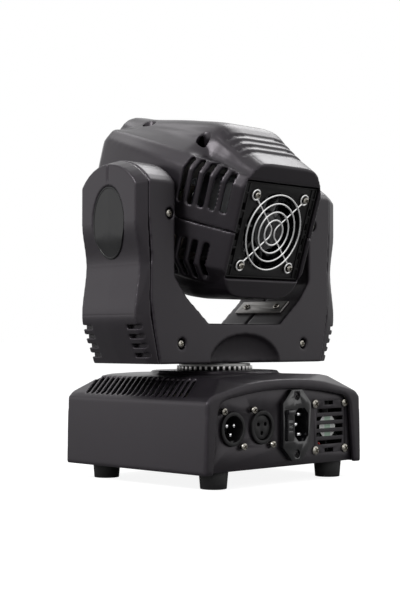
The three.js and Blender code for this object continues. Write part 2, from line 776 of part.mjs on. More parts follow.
// An axial fan frame with struts behind its rotor; the open face points to +Y
function fanFrame(half, depth, bore, hub, screwPlace) {
  const frame = alongY(clipped(half, half, half - screwPlace), -depth, 0);
  const strut = boardThickness;
  const struts = [
    box(-bore - fit, bore + fit, -depth, strut - depth, -strut, strut),
    box(-strut, strut, -depth, strut - depth, -bore - fit, bore + fit),
    rodY(0, 0, hub, -depth, strut - depth, smallSides),
    rodY(0, 0, motorShaft, -depth, strut - depth + strut, smallSides),
  ];
  const tube = rodY(0, 0, bore, -depth - overrun, overrun);
  const holes = [-1, 1].flatMap((sx) => [-1, 1].map((sz) =>
    rodY(sx * screwPlace, sz * screwPlace, screwShank + fit, -depth - overrun, overrun, tinySides)));
  return join(cut(frame, tube, ...holes), ...struts);
}

function fanRotor(depth, hub, bladeRadius, count) {
  const start = -depth + boardThickness + fit;
  const body = rodY(0, 0, hub, start, -fit, smallSides);
  const bore = rodY(0, 0, motorShaft + fit, start - overrun, start + boardThickness + fit, smallSides);
  const blades = Array.from({ length: count }, (_, i) => {
    const chord = (depth - boardThickness) / 2;
    const geometry = new THREE.BoxGeometry(bladeRadius - hub / 2, chord, fanBladeThickness)
      .rotateX(fanBladeTurn)
      .translate((bladeRadius + hub / 2) / 2, (start - fit) / 2, 0)
      .rotateY(2 * Math.PI * i / count);
    return solid(geometry);
  });
  return cut(join(body, ...blades), bore);
}

// Menu pieces
function displayWindow() {
  const pane = box(fit - windowHalfWidth, windowHalfWidth - fit, windowRebate, wall + fit,
    fit - windowHalfHeight, windowHalfHeight - fit);
  const back = box(-windowHalfWidth - windowRebate, windowHalfWidth + windowRebate,
    wall + fit, wall + windowRebate + fit,
    -windowHalfHeight - windowRebate, windowHalfHeight + windowRebate);
  return join(pane, back);
}

function menuButton() {
  const cap = rodY(0, 0, buttonRadius, -buttonProud, wall + fit, smallSides);
  const flange = rodY(0, 0, buttonRadius + buttonFlange, wall + fit, wall + fit + buttonFlange, smallSides);
  const stem = rodY(0, 0, buttonStem, wall, controlGap + wall - buttonTravel - fit, smallSides);
  return join(cap, flange, stem);
}

function controlBoard() {
  const low = bottomPlateLevel + plateThickness + fit;
  const board = box(-controlHalfWidth - postRadius, controlHalfWidth + postRadius, 0, boardThickness,
    low, windowHeight + controlHalfHeight);
  const display = box(windowX - windowHalfWidth, windowX + windowHalfWidth,
    windowRebate + fit - controlGap + fit, fit,
    windowHeight - windowHalfHeight, windowHeight + windowHalfHeight);
  return join(board, display);
}

function supplyBoard() {
  const board = box(-supplyHalfWidth, supplyHalfWidth, -supplyHalfDepth, supplyHalfDepth, 0, boardThickness);
  const coil = box(-coilSize, 0, -coilSize / 2, coilSize / 2, 0, coilSize);
  const cans = [-1, 1].map((side) =>
    rodZ(supplyHalfWidth / 2, side * supplyHalfDepth / 2, capRadius, 0, capHeight, smallSides));
  const heat = box(-supplyHalfWidth, -supplyHalfWidth + wall, -supplyHalfDepth, supplyHalfDepth,
    0, coilSize);
  return join(board, coil, heat, ...cans);
}

// The fixed gear on top of the base: a smooth band over teeth, bored for the pan shaft
const pinionX = pinionOffset * Math.cos(pinionTurn);
const pinionY = pinionOffset * Math.sin(pinionTurn);

function panRing() {
  const band = ringTop - ringBandHeight;
  const root = ringRadius - toothHeight;
  const gear = alongZ(toothed(gearTeeth, root, toothHeight), seatHeight + fit, band + fit);
  const rim = rodZ(0, 0, root, band, ringTop, gearTeeth);
  const recess = rodZ(0, 0, ringBore, ringTop - ringRecess, ringTop + overrun);
  const bore = rodZ(0, 0, panShaftRadius + fit, 0, ringTop + overrun);
  return cut(join(gear, rim), recess, bore);
}

function panShaft() {
  const tube = rodZ(0, 0, panShaftRadius, panShaftFoot, yokeBottom + wall + wall);
  const collar = rodZ(0, 0, panCollarRadius, panShaftFoot, panShaftFoot + panCollarHeight);
  const flange = rodZ(0, 0, panCollarRadius, yokeBottom + wall + fit, yokeBottom + wall + wall);
  return cut(join(tube, collar, flange), rodZ(0, 0, panShaftBore, 0, yokeTop));
}

function panPinion() {
  const top = ringTop - ringBandHeight - fit;
  const bottom = seatHeight + ringGap;
  return cut(alongZ(toothed(pinionTeeth, pinionRoot, toothHeight), bottom, top),
    rodZ(0, 0, motorShaft + fit / 2, 0, yokeTop, smallSides));
}

function panMotor() {
  const bottom = yokeBottom + wall + fit;
  const body = alongZ(clipped(panMotorHalf, panMotorHalf, plateCorner), bottom, bottom + panMotorHeight);
  const shaft = rodZ(0, 0, motorShaft, seatHeight + ringGap, bottom + fit, smallSides);
  return join(body, shaft);
}

// Yoke outlines: the U in XZ and the arched arm in YZ
const yokeSpan = yokeTop - yokeBottom;
const yokeOuterHalf = shifted(scaled(yokeOuterShares, yokeHalfWidth, yokeSpan), 0, yokeBottom);
const yokeInnerHalf = shifted(scaled(yokeInnerShares, armInner, yokeSpan), 0, yokeBottom);
const yokeOutline = mirrored([...yokeOuterHalf, ...yokeInnerHalf]);
const [slopeTopPoint, slopeFootPoint] = yokeInnerHalf.slice(2);
const slopeRise = (slopeTopPoint[1] - slopeFootPoint[1]) / (slopeTopPoint[0] - slopeFootPoint[0]);
const strapZ = slopeFootPoint[1] + (strapX - slopeFootPoint[0]) * slopeRise;

// An arch of a given radius whose feet run down to a level
function arch(halfWidth, bottom, apex, radius) {
  const spread = Math.asin(halfWidth / radius);
  const arc = Array.from({ length: archSteps + 1 }, (_, i) => {
    const angle = spread - 2 * spread * i / archSteps;
    return [radius * Math.sin(angle), apex - radius + radius * Math.cos(angle)];
  });
  return [[halfWidth, bottom], ...arc, [-halfWidth, bottom]];
}

const screwPlaces = [-1, 1].flatMap((side) => [
  [side * (armInner - lowScrewInset), yokeBottom + lowScrewRise],
  [side * (armInner + highScrewInset), tiltHeight - highScrewDrop],
]);

// One half shell of the yoke: front for side -1, rear for side 1
function yokeShell(side) {
  const face = side * yokeHalfDepth;
  const inner = side * (yokeHalfDepth - wall);
  const seam = yokeSeam + side * fit / 2;
  const span = (a, b) => [Math.min(a, b), Math.max(a, b)];
  const outer = common(
    alongY(yokeOutline, ...span(seam, face)),
    alongX(arch(yokeHalfDepth, yokeBottom - overrun, yokeTop, archRadius), -yokeHalfWidth - overrun,
      yokeHalfWidth + overrun));
  const hollow = common(
    alongY(inset(yokeOutline, wall), ...span(seam - side * overrun, inner)),
    alongX(arch(yokeHalfDepth - wall, yokeBottom - overrun, yokeTop - wall, archRadius - wall),
      -yokeHalfWidth, yokeHalfWidth));
  const posts = screwPlaces.map(([x, z]) => rodY(x, z, wellRadius + wellFloor,
    ...span(face, face - side * wellDepth), tinySides));
  const shell = join(cut(outer, hollow), ...posts.map((post) => common(post, outer)));
  const wells = screwPlaces.map(([x, z]) => rodY(x, z, wellRadius,
    ...span(face + side * overrun, face - side * (wellDepth - wellFloor)), smallSides));
  const axle = rodX(0, tiltHeight, armAxleHole, -yokeHalfWidth + wall + fit, yokeHalfWidth - wall - fit);
  const bore = rodZ(0, 0, panShaftRadius + fit, yokeBottom - overrun, yokeBottom + wall + overrun);
  const pinion = rodZ(pinionX, pinionY, motorShaft + fit, yokeBottom - overrun, yokeBottom + wall + overrun,
    smallSides);
  const dish = (grow) => solid(new THREE.SphereGeometry(1, roundSides, smallSides)
    .scale(scoopHalfWidth + grow, scoopDepth + grow, scoopHeight + grow)
    .translate(0, face, yokeBottom));
  const scoop = dish(0);
  const scoopBack = common(dish(wall), outer);
  return cut(join(shell, scoopBack), ...wells, axle, bore, pinion, scoop,
    rodZ(0, 0, panCollarRadius + fit, yokeBottom + wall, yokeBottom + wall + wall + fit));
}

// Outer cover of an arm: a lofted cap with chamfered edges, notched vents and a badge recess
function coverSection(share, k) {
  const z = coverBottom + share * (yokeTop - archRadius - coverBottom);
  const body = coverBodyShares[k] * yokeHalfWidth;
  const out = coverOuterShares[k] * yokeHalfWidth;
  return [[body, yokeHalfDepth - coverLip, z], [body, coverLip - yokeHalfDepth, z],
    [out, coverFaceHalf, z], [out, -coverFaceHalf, z]].map((p) => new THREE.Vector3(...p));
}

function coverTop() {
  const last = coverStationShares.length - 1;
  const body = coverBodyShares[last] * yokeHalfWidth;
  const low = yokeTop - archRadius;
  const bodyArch = arch(yokeHalfDepth - coverLip, low, yokeTop - coverLip, archRadius - coverLip);
  const faceArch = arch(coverFaceHalf, low, coverFaceTop, coverFaceRadius);
  return [...bodyArch.map(([y, z]) => new THREE.Vector3(body, y, z)),
    ...faceArch.map(([y, z]) => new THREE.Vector3(coverReach, y, z))];
}

function armCover() {
  const block = join(loft(coverStationShares.map(coverSection)), solid(new ConvexGeometry(coverTop())));
  const shell = common(block, alongY(yokeClear, -yokeHalfDepth, yokeHalfDepth));
  const vents = [-1, 1].flatMap((side) => Array.from({ length: ventCount }, (_, i) => {
    const z = coverBottom + ventRise + i * ventPitch;
    const [y0, y1] = [side * ventInner, side * (yokeHalfDepth + overrun)].sort((a, b) => a - b);
    const rise = (z - coverBottom) / (coverStationShares[1] * (yokeTop - archRadius - coverBottom));
    const face = yokeHalfWidth * THREE.MathUtils.lerp(coverOuterShares[0], coverOuterShares[1], rise);
    return box(face - ventDepth, coverReach + overrun, y0, y1, z - ventHeight / 2, z + ventHeight / 2);
  }));
  const oval = shifted(badgeOutline(0), 0, badgeHeight);
  const recess = alongX(oval, coverReach - badgeRecess - fit, coverReach + overrun);
  return cut(shell, ...vents, recess);
}

// The space outside the yoke shells, cleared by the fit, where a cover may lie
const yokeClear = [...shifted(yokeOuterHalf, fit, 0), [coverReach + overrun, yokeTop],
  [coverReach + overrun, yokeBottom]];

// A plain oval badge
const badgeOutline = (gap) => scaled(circle(1), badgeHalfWidth - gap, badgeHalfHeight - gap);

function badge() {
  return alongX(badgeOutline(fit), 0, badgeThickness);
}

// A flat strap in its own frame: long side on Y, face on +Z
function strapPlate() {
  const plate = alongZ(clipped(strapHalfWidth, strapHalfLength, coverLip), fit, fit + strapThickness);
  const holes = [-1, 1].map((side) =>
    rodZ(0, side * strapScrewY, screwShank + fit, -overrun, overrun, tinySides));
  return cut(plate, ...holes);
}

// Tilt drive: bearings, axles, pulleys, belt and motor
function tiltBearing() {
  return cut(rodX(0, 0, bearingRadius, 0, bearingWidth),
    rodX(0, 0, axleRadius + fit, -overrun, bearingWidth + overrun));
}

function tiltAxle() {
  const tube = rodX(0, 0, axleRadius, axleInner, axleOuter);
  const flange = rodX(0, 0, axleFlange, axleInner, axleInner + axleFlangeThickness);
  return cut(join(tube, flange), rodX(0, 0, axleBore, 0, axleOuter + overrun));
}

function tiltPulley() {
  const wheel = rodX(0, 0, tiltPulleyRadius, beltStart, beltStart + beltWidth);
  return cut(wheel, rodX(0, 0, axleRadius + fit, 0, axleOuter + overrun));
}

// The loop round two pulleys, from the small one below to the large one above
function beltLoop(grow) {
  const span = tiltHeight - motorAxisHeight;
  const lean = Math.asin((tiltPulleyRadius - motorPulleyRadius) / span);
  const arcPoints = (radius, level, from, to) => Array.from({ length: smallSides + 1 }, (_, i) => {
    const angle = from + (to - from) * i / smallSides;
    return [radius * Math.cos(angle), level + radius * Math.sin(angle)];
  });
  return [
    ...arcPoints(tiltPulleyRadius + grow, tiltHeight, -lean, Math.PI + lean),
    ...arcPoints(motorPulleyRadius + grow, motorAxisHeight, Math.PI + lean, 2 * Math.PI - lean),
  ];
}

function tiltBelt() {
  return cut(
    alongX(beltLoop(fit + beltThickness), beltStart, beltStart + beltWidth),
    alongX(beltLoop(fit), beltStart - overrun, beltStart + beltWidth + overrun));
}

function motorPulley() {
  return cut(rodX(0, 0, motorPulleyRadius, beltStart, beltStart + beltWidth, smallSides),
    rodX(0, 0, motorShaft + fit / 2, 0, yokeHalfWidth, smallSides));
}

function tiltMotor() {
  const outline = clipped(tiltMotorHalf, tiltMotorHalf, plateCorner);
  const body = alongX(outline, tiltMotorStart, tiltMotorStart + tiltMotorLength);
  return join(body, rodX(0, 0, motorShaft, tiltMotorStart, beltStart + beltWidth, smallSides));
}

// Head shells: a lofted body with a lofted hump on top and one below, hollow inside
function headSection(k, trim) {
  const y = headFront + headStationShares[k] * headLength;
  const width = headWidthShares[k] * headHalfWidth - trim;
  const top = headTopShares[k] * headTop - trim;
  const bottom = headBottomShares[k] * headBottom + trim;
  return headCornerShares.map(([x, z]) => new THREE.Vector3(x * width, y, bottom + z * (top - bottom)));
}

function humpSection(k, trim) {
  const y = headFront + humpStationShares[k] * headLength;
  return humpOutlineShares.map(([x, z]) =>
    new THREE.Vector3(x * (humpWidthShares[k] * humpHalfWidth - trim), y,
      humpBase + z * (humpHeightShares[k] * humpHeight - trim)));
}

function bellySection(k, trim) {
  const y = headFront + humpStationShares[k] * headLength;
  return humpOutlineShares.map(([x, z]) =>
    new THREE.Vector3(x * (bellyWidthShares[k] * humpHalfWidth - trim), y,
      bellyBase - z * (bellyDepthShares[k] * bellyDepth - trim)));
}

function headBlock(trim) {
  const body = loft(headStationShares.map((_, k) => headSection(k, trim)));
  const hump = loft(humpStationShares.map((_, k) => humpSection(k, trim)));
  const belly = loft(humpStationShares.map((_, k) => bellySection(k, trim)));
  return common(join(body, hump, belly), box(-headHalfWidth, headHalfWidth,
    headFront + trim, headRear - trim, bellyBase - bellyDepth, headCeiling));
}

function sideSlots(count, start, bottom, top) {
  return [-1, 1].flatMap((side) => Array.from({ length: count }, (_, i) => {
    const y = start + i * sideSlotPitch;
    const [x0, x1] = [side * sideSlotInner, side * (headHalfWidth + overrun)].sort((a, b) => a - b);
    return box(x0, x1, y - sideSlotWidth / 2, y + sideSlotWidth / 2, bottom, top);
  }));
}

// Curved grooves behind the hump, each with a deep and a shallow step
function topGrooves() {
  const strips = (start) => join(...Array.from({ length: grooveCount }, (_, i) => {
    const y = start + i * groovePitch;
    return box(-grooveHalf, grooveHalf, y, y + grooveWidth, humpBase, headCeiling);
  }));
  const deep = cut(strips(grooveStart), headBlock(grooveDepth + grooveDepth));
  const shallow = cut(strips(grooveStart + grooveWidth - fit), headBlock(grooveDepth));
  return [deep, shallow];
}

const fanFace = headRear - fanRecessDepth;

function headShells() {
  const outer = headBlock(0);
  const hollow = headBlock(headWall);
  const ledge = fanFace - bezelThickness - fit;
  const surround = common(outer,
    box(-fanRecessHalf - headWall, fanRecessHalf + headWall, ledge - headWall, headRear,
      fanRecessCentre - fanRecessHalfHeight - headWall, fanRecessCentre + fanRecessHalfHeight + headWall));
  const recess = join(
    box(-fanRecessHalf, fanRecessHalf, ledge, headRear + overrun,
      fanRecessCentre - fanRecessHalfHeight, fanRecessCentre + fanRecessHalfHeight),
    box(-fanHalf - fit, fanHalf + fit, ledge - headWall - overrun, headRear, fanCentre - fanHalf - fit,
      fanCentre + fanHalf + fit));
  const front = rodY(0, opticsHeight, barrelRadius + fit, headFront - overrun,
    headFront + overrun + overrun);
  const axles = rodX(0, 0, axleRadius + fit, -headHalfWidth - overrun, headHalfWidth + overrun);
  const wellSpots = [[frontWellX, frontWellY], [rearWellX, rearWellY]]
    .flatMap(([x, y]) => [[x, y], [-x, y]]);
  const bosses = wellSpots.map(([x, y]) =>
    common(rodZ(x, y, headWellRadius + headWall, wellStart - headWall - headWall, headCeiling,
      smallSides), outer));
  const wells = wellSpots.map(([x, y]) => rodZ(x, y, headWellRadius, wellStart, headCeiling, smallSides));
  const whole = cut(join(cut(outer, hollow), surround, ...bosses), recess, front, axles, ...wells,
    ...topGrooves(),
    ...sideSlots(upperSlotCount, upperSlotStart, upperSlotBottom, upperSlotTop),
    ...sideSlots(lowerSlotCount, lowerSlotStart, lowerSlotBottom, lowerSlotTop));
  const above = box(-headLength, headLength, -headLength, headLength, fit / 2, headLength);
  const below = box(-headLength, headLength, -headLength, headLength, -headLength, -fit / 2);
  return [common(whole, above), common(whole, below)];
}

// The square panel round the head fan, with notched side strips
function fanBezel() {
  const front = fanFace - bezelThickness;
  const plate = box(fit - fanRecessHalf, fanRecessHalf - fit, front, fanFace,
    fanRecessCentre - fanRecessHalfHeight + fit, fanRecessCentre + fanRecessHalfHeight - fit);
  const bore = rodY(0, fanCentre, fanBore, front - overrun, fanFace + overrun);
  const holes = [-1, 1].flatMap((sx) => [-1, 1].map((sz) =>
    rodY(sx * fanScrew, fanCentre + sz * fanScrew, screwShank + fit, front - overrun,
      fanFace + overrun, tinySides)));
  const notches = [-1, 1].flatMap((side) => Array.from({ length: bezelNotchCount }, (_, i) => {
    const z = fanCentre + (i - (bezelNotchCount - 1) / 2) * bezelNotchPitch;
    const x = side * (fanRecessHalf - bezelNotchWidth);
    return box(x - bezelNotchWidth / 2, x + bezelNotchWidth / 2, front - overrun, fanFace + overrun,
      z - bezelNotchHeight / 2, z + bezelNotchHeight / 2);
  }));
  return cut(plate, bore, ...holes, ...notches);
}

// Wire guard: concentric rings on two bent wires that end in loops round the screws
function bentWire(side) {
  const half = guardBendShares.map(([x, z]) =>
    new THREE.Vector3(side * x * fanScrew, wireRadius, z * fanScrew));
  const lower = half.slice(0, -1).reverse().map((p) => new THREE.Vector3(p.x, p.y, -p.z));
  const shape = shapeOf(circle(wireRadius, wireSides));
  const path = new THREE.CatmullRomCurve3([...half, ...lower]);
  const options = { steps: bendSteps, bevelEnabled: false, extrudePath: path };
  return solid(new THREE.ExtrudeGeometry(shape, options));
}

function wireRing(radius, steps) {
  return new THREE.TorusGeometry(radius, wireRadius, wireSides, steps).rotateX(Math.PI / 2);
}

function fingerGuard() {
  const rings = guardRingShares.map((share) =>
    solid(wireRing(share * fanScrew, wireSteps).translate(0, wireRadius + wireRadius, 0)));
  const loops = [-1, 1].flatMap((sx) => [-1, 1].map((sz) =>
    solid(wireRing(eyeletRadius, eyeletSteps).translate(sx * fanScrew, wireRadius, sz * fanScrew))));
  return join(...rings, ...loops, bentWire(-1), bentWire(1));
}

// Optics
function frontRim() {
  const disc = rodY(0, 0, frontRimRadius, -frontRimHeight, -fit);
  const tube = rodY(0, 0, barrelRadius, -frontRimHeight, barrelRear - headFront);
  const bore = rodY(0, 0, barrelRadius - barrelWall, lensThickness, barrelRear - headFront + overrun);
  const mouth = rodY(0, 0, lensRadius + fit, -frontRimHeight - overrun, headLength);
  return cut(join(disc, tube), bore, mouth);
}

function frontLens() {
  const bulge = lensThickness / 3;
  const points = [new THREE.Vector2(0, 0), new THREE.Vector2(lensRadius, 0),
    new THREE.Vector2(lensRadius, lensThickness - bulge)];
  for (let i = 1; i <= lensSteps; i += 1) {
    const share = 1 - i / lensSteps;
    points.push(new THREE.Vector2(lensRadius * share, lensThickness - bulge * share * share));
  }
  return solid(new THREE.LatheGeometry(points, roundSides).rotateZ(Math.PI));
}

function effectWheel() {
  const disc = rodY(0, 0, wheelRadius, 0, wheelThickness);
  const holes = Array.from({ length: wheelHoleCount }, (_, i) => {
    const angle = Math.PI / 2 + 2 * Math.PI * i / wheelHoleCount;
    return rodY(wheelDrop * Math.cos(angle), wheelDrop * Math.sin(angle), wheelHoleRadius,
      -overrun, overrun, tinySides);
  });
  return cut(disc, ...holes, rodY(0, 0, spindleRadius + fit, -overrun, overrun, smallSides));
}

function effectsChassis() {
  const plate = common(headBlock(headWall + fit), box(-headHalfWidth, headHalfWidth, chassisStation,
    chassisStation + plateThickness, headBottom, chassisTop));
  const hole = rodY(0, opticsHeight, chassisAperture, chassisStation - overrun, chassisStation + overrun);
  const spindle = rodY(0, opticsHeight - wheelDrop, spindleRadius, goboStation - fit,
    colourStation + wheelThickness + fit, smallSides);
  return join(cut(plate, hole), spindle);
}

function ledModule() {
  const board = box(-ledHalf, ledHalf, ledStation, ledStation + plateThickness, opticsHeight - ledHalf,
    opticsHeight + ledHalf);
  const ball = solid(new THREE.SphereGeometry(ledDome, smallSides, domeSteps)
    .translate(0, ledStation, opticsHeight));
  const dome = common(ball, box(-ledHalf, ledHalf, ledStation - ledDome, ledStation + fit,
    0, opticsHeight + ledHalf));
  return join(board, dome);
}

function heatSink() {
  const start = ledStation + plateThickness + fit;
  const sinkDepth = fanFace - bezelThickness - fit - fanDepth - fit - start;
  const base = box(-sinkHalf, sinkHalf, start, start + sinkFloor,
    fanCentre - sinkHalf, fanCentre + sinkHalf);
  const fins = Array.from({ length: sinkFins }, (_, i) => {
    const x = -sinkHalf + sinkFin / 2 + i * (sinkHalf + sinkHalf - sinkFin) / (sinkFins - 1);
    return box(x - sinkFin / 2, x + sinkFin / 2, start, start + sinkDepth,
      fanCentre - sinkHalf, fanCentre + sinkHalf);
  });
  return join(base, ...fins);
}

// Assembly of the base
const light = new THREE.Group();
const base = new THREE.Group();
const yoke = new THREE.Group();
const head = new THREE.Group();
light.add(base, yoke);
yoke.add(head);
head.position.z = tiltHeight;
head.rotation.x = -restTilt;

const place = (group, mesh, x = 0, y = 0, z = 0) => {
  mesh.position.set(x, y, z);
  group.add(mesh);
  return mesh;
};

place(base, part("base_cover", baseCover(), charcoal));
place(base, part("bottom_plate", bottomPlate(), darkPlastic));
const rubberFoot = part("foot_1", foot(), rubber);
[[1, 1], [-1, 1], [-1, -1], [1, -1]].forEach(([sx, sy], i) =>
  base.add(copyOf(rubberFoot, "foot_" + (i + 1), sx * footX - footShift, sy * footY + footShift, 0)));
place(base, part("rear_panel", rearPanel(), charcoal));
place(base, part("male_socket", maleSocket(), darkPlastic), maleSocketX, panelOuter, socketHeight);
place(base, part("female_socket", femaleSocket(), darkPlastic), femaleSocketX, panelOuter, socketHeight);
const panelScrew = part("panel_screw_1", screw(screwLength), steel);
[maleSocketX, femaleSocketX].forEach((x, i) => [-1, 1].forEach((side, k) =>
  base.add(copyOf(panelScrew, "panel_screw_" + (2 * i + k + 1), x + side * flangeScrewX,
    panelOuter + fit, socketHeight + side * flangeScrewZ))));
place(base, part("mains_inlet", mainsInlet(), glossBlack), inletX, panelOuter + fit, inletHeight);
place(base, part("fuse_drawer", fuseDrawer(), glossBlack), inletX + drawerShift,
  panelOuter + fit + inletThickness, inletHeight);
const baseFanFrame = fanFrame(baseFanHalf, baseFanDepth, baseFanBore, baseFanHub, baseFanScrew);
const baseFanRotor = fanRotor(baseFanDepth, baseFanHub, baseFanBladeRadius, fanBladeCount);
place(base, part("base_fan_frame", baseFanFrame, darkPlastic), baseFanX, panelInner - fit, baseFanHeight);
place(base, part("base_fan_rotor", baseFanRotor, hubLook), baseFanX, panelInner - fit, baseFanHeight);
place(base, part("display_window", displayWindow(), displayLook), windowX, -baseHalfDepth, windowHeight);
const button = part("menu_button_1", menuButton(), darkPlastic);
Array.from({ length: buttonCount }, (_, i) =>
  base.add(copyOf(button, "menu_button_" + (i + 1), buttonX(i), -baseHalfDepth, windowHeight)));
place(base, part("control_board", controlBoard(), boardGreen), 0, -baseHalfDepth + wall + controlGap);
place(base, part("supply_board", supplyBoard(), boardGreen), supplyX, supplyY,
  bottomPlateLevel + plateThickness + postHeight);
place(base, part("pan_ring", panRing(), greyMetal));

// Assembly of the yoke
place(yoke, part("pan_shaft", panShaft(), aluminium));
place(yoke, part("pan_motor", panMotor(), greyMetal), pinionX, pinionY);
place(yoke, part("pan_pinion", panPinion(), brass), pinionX, pinionY);
place(yoke, part("yoke_front_shell", yokeShell(-1), charcoal));
place(yoke, part("yoke_rear_shell", yokeShell(1), charcoal));
const cover = part("left_arm_cover", armCover(), charcoal);
const label = part("left_badge", badge(), badgeLook);
[["left", 0], ["right", Math.PI]].forEach(([side, turn]) => {
  const arm = new THREE.Group();
  arm.rotation.z = turn;
  arm.add(copyOf(cover, side + "_arm_cover", 0, 0, 0));
  arm.add(copyOf(label, side + "_badge", coverReach - badgeRecess, 0, badgeHeight));
  yoke.add(arm);
});

const strap = new THREE.Group();
strap.position.set(-strapX, 0, strapZ);
strap.rotation.y = Math.atan(slopeRise);
strap.add(part("strap_plate", strapPlate(), greyMetal));
yoke.add(strap);

const bearing = tiltBearing();
place(yoke, part("left_bearing", bearing, steel), bearingStart, 0, tiltHeight);
const rightBearing = place(yoke, part("right_bearing", bearing, steel), -bearingStart, 0, tiltHeight);
rightBearing.rotation.z = Math.PI;
place(yoke, part("tilt_motor", tiltMotor(), greyMetal), 0, 0, motorAxisHeight);
place(yoke, part("tilt_motor_pulley", motorPulley(), aluminium), 0, 0, motorAxisHeight);
place(yoke, part("tilt_belt", tiltBelt(), rubber));

// Assembly of the head
const [upperShell, lowerShell] = headShells();
place(head, part("head_upper_shell", upperShell, charcoal));
place(head, part("head_lower_shell", lowerShell, charcoal));
const axle = tiltAxle();
place(head, part("left_axle", axle, steel));
const rightAxle = place(head, part("right_axle", axle, steel));
rightAxle.rotation.z = Math.PI;
place(head, part("tilt_pulley", tiltPulley(), aluminium));
place(head, part("front_rim", frontRim(), darkPlastic), 0, headFront, opticsHeight);
place(head, part("front_lens", frontLens(), glassLook), 0, headFront + lensThickness + fit, opticsHeight);
place(head, part("effects_chassis", effectsChassis(), greyMetal));
place(head, part("gobo_wheel", effectWheel(), steel), 0, goboStation, opticsHeight - wheelDrop);
place(head, part("colour_wheel", effectWheel(), brass), 0, colourStation, opticsHeight - wheelDrop);
place(head, part("led_module", ledModule(), boardGreen));
place(head, part("heat_sink", heatSink(), aluminium));
place(head, part("fan_bezel", fanBezel(), darkPlastic));
const fanStart = fanFace - bezelThickness - fit;
place(head, part("head_fan_frame", fanFrame(fanHalf, fanDepth, fanBore, fanHub, fanScrew), darkPlastic),
  0, fanStart, fanCentre);
place(head, part("head_fan_rotor", fanRotor(fanDepth, fanHub, fanBladeRadius, fanBladeCount), darkPlastic),
  0, fanStart, fanCentre);
place(head, part("finger_guard", fingerGuard(), steel), 0, fanFace + fit, fanCentre);
const guardScrew = part("guard_screw_1", screw(screwLength), steel);
[[1, 1], [-1, 1], [-1, -1], [1, -1]].forEach(([sx, sz], i) =>
  head.add(copyOf(guardScrew, "guard_screw_" + (i + 1), sx * fanScrew,
    fanFace + fit + fit + wireRadius + wireRadius, fanCentre + sz * fanScrew)));

export default light;
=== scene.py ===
import bpy
import bmesh
import json
import math
from bpy.props import FloatProperty, FloatVectorProperty, IntProperty, PointerProperty
from mathutils import Matrix, Vector


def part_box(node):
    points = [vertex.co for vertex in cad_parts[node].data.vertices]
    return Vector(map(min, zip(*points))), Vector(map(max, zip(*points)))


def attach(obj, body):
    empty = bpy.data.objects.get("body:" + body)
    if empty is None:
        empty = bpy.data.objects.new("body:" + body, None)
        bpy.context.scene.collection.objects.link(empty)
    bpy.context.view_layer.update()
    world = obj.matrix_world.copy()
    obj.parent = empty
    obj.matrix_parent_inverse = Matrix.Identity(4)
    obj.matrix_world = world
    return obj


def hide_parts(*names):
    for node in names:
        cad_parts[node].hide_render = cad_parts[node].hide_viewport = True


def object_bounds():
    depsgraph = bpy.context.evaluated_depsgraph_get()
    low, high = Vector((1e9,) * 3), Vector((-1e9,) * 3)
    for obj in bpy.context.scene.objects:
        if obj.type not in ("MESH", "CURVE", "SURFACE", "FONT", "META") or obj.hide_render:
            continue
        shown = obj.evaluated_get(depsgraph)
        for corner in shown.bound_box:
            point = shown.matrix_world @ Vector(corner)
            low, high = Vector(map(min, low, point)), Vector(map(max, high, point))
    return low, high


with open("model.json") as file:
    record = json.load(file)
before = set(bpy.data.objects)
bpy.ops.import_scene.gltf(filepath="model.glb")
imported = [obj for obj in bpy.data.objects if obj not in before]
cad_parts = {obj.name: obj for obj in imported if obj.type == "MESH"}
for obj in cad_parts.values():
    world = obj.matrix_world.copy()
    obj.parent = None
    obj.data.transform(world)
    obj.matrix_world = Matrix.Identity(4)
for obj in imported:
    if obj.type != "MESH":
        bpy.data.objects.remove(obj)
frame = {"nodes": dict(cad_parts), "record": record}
solid_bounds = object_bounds()

bl_info = {
    "name": "Moving head spot light",
    "version": (1, 0, 0),
    "blender": (4, 5, 0),
    "location": "View3D > Sidebar > Spot light",
    "description": "Dresses the solids of a small moving head spot light and sets up its studio",
    "category": "Object",
}


# Values that a user would change

def color_value(name, description, default):
    return FloatVectorProperty(name=name, description=description, default=default, subtype="COLOR", size=3)


def length_value(name, description, default):
    return FloatProperty(name=name, description=description, default=default, unit="LENGTH", precision=5)


def plain_value(name, description, default, **limits):
    return FloatProperty(name=name, description=description, default=default, **limits)


def angle_value(name, description, default):
    return FloatProperty(name=name, description=description, default=math.radians(default), subtype="ANGLE")


class FinishValues(bpy.types.PropertyGroup):
    shell_color: color_value("Shell colour", "Charcoal of the moulded shells", (0.0085, 0.0072, 0.0092))
    shell_roughness: plain_value("Shell roughness", "Roughness of the moulded shells", 0.36, min=0, max=1)
    shell_gleam: plain_value("Shell gleam", "Strength of the shells' reflections", 0.42, min=0, max=1)
    gleam_tint: color_value("Gleam tint", "Faint violet of the shells' reflections", (1.0, 0.93, 1.0))
    dark_color: color_value("Dark plastic", "Colour of sockets and fan frames", (0.0060, 0.0056, 0.0062))
    steel_color: color_value("Plated steel", "Colour of contacts and axles", (0.86, 0.86, 0.87))
    zinc_color: color_value("Zinc", "Colour of the strap plate", (0.34, 0.33, 0.32))
    wire_steel: color_value("Guard wire", "Colour of the fan guard's wire", (0.97, 0.97, 0.96))
    ring_color: color_value("Pan ring", "Colour of the ring under the yoke", (0.58, 0.57, 0.56))
    screw_color: color_value("Screws", "Colour of the screws", (0.40, 0.38, 0.34))
    label_color: color_value("Hub label", "Pale green of the label on the base fan's hub", (0.55, 0.74, 0.60))
    wire_color: color_value("Fan lead", "Red of the base fan's lead", (0.45, 0.015, 0.012))
    grain_scale: plain_value("Grain scale", "Grains per metre of the moulded texture", 2600.0)


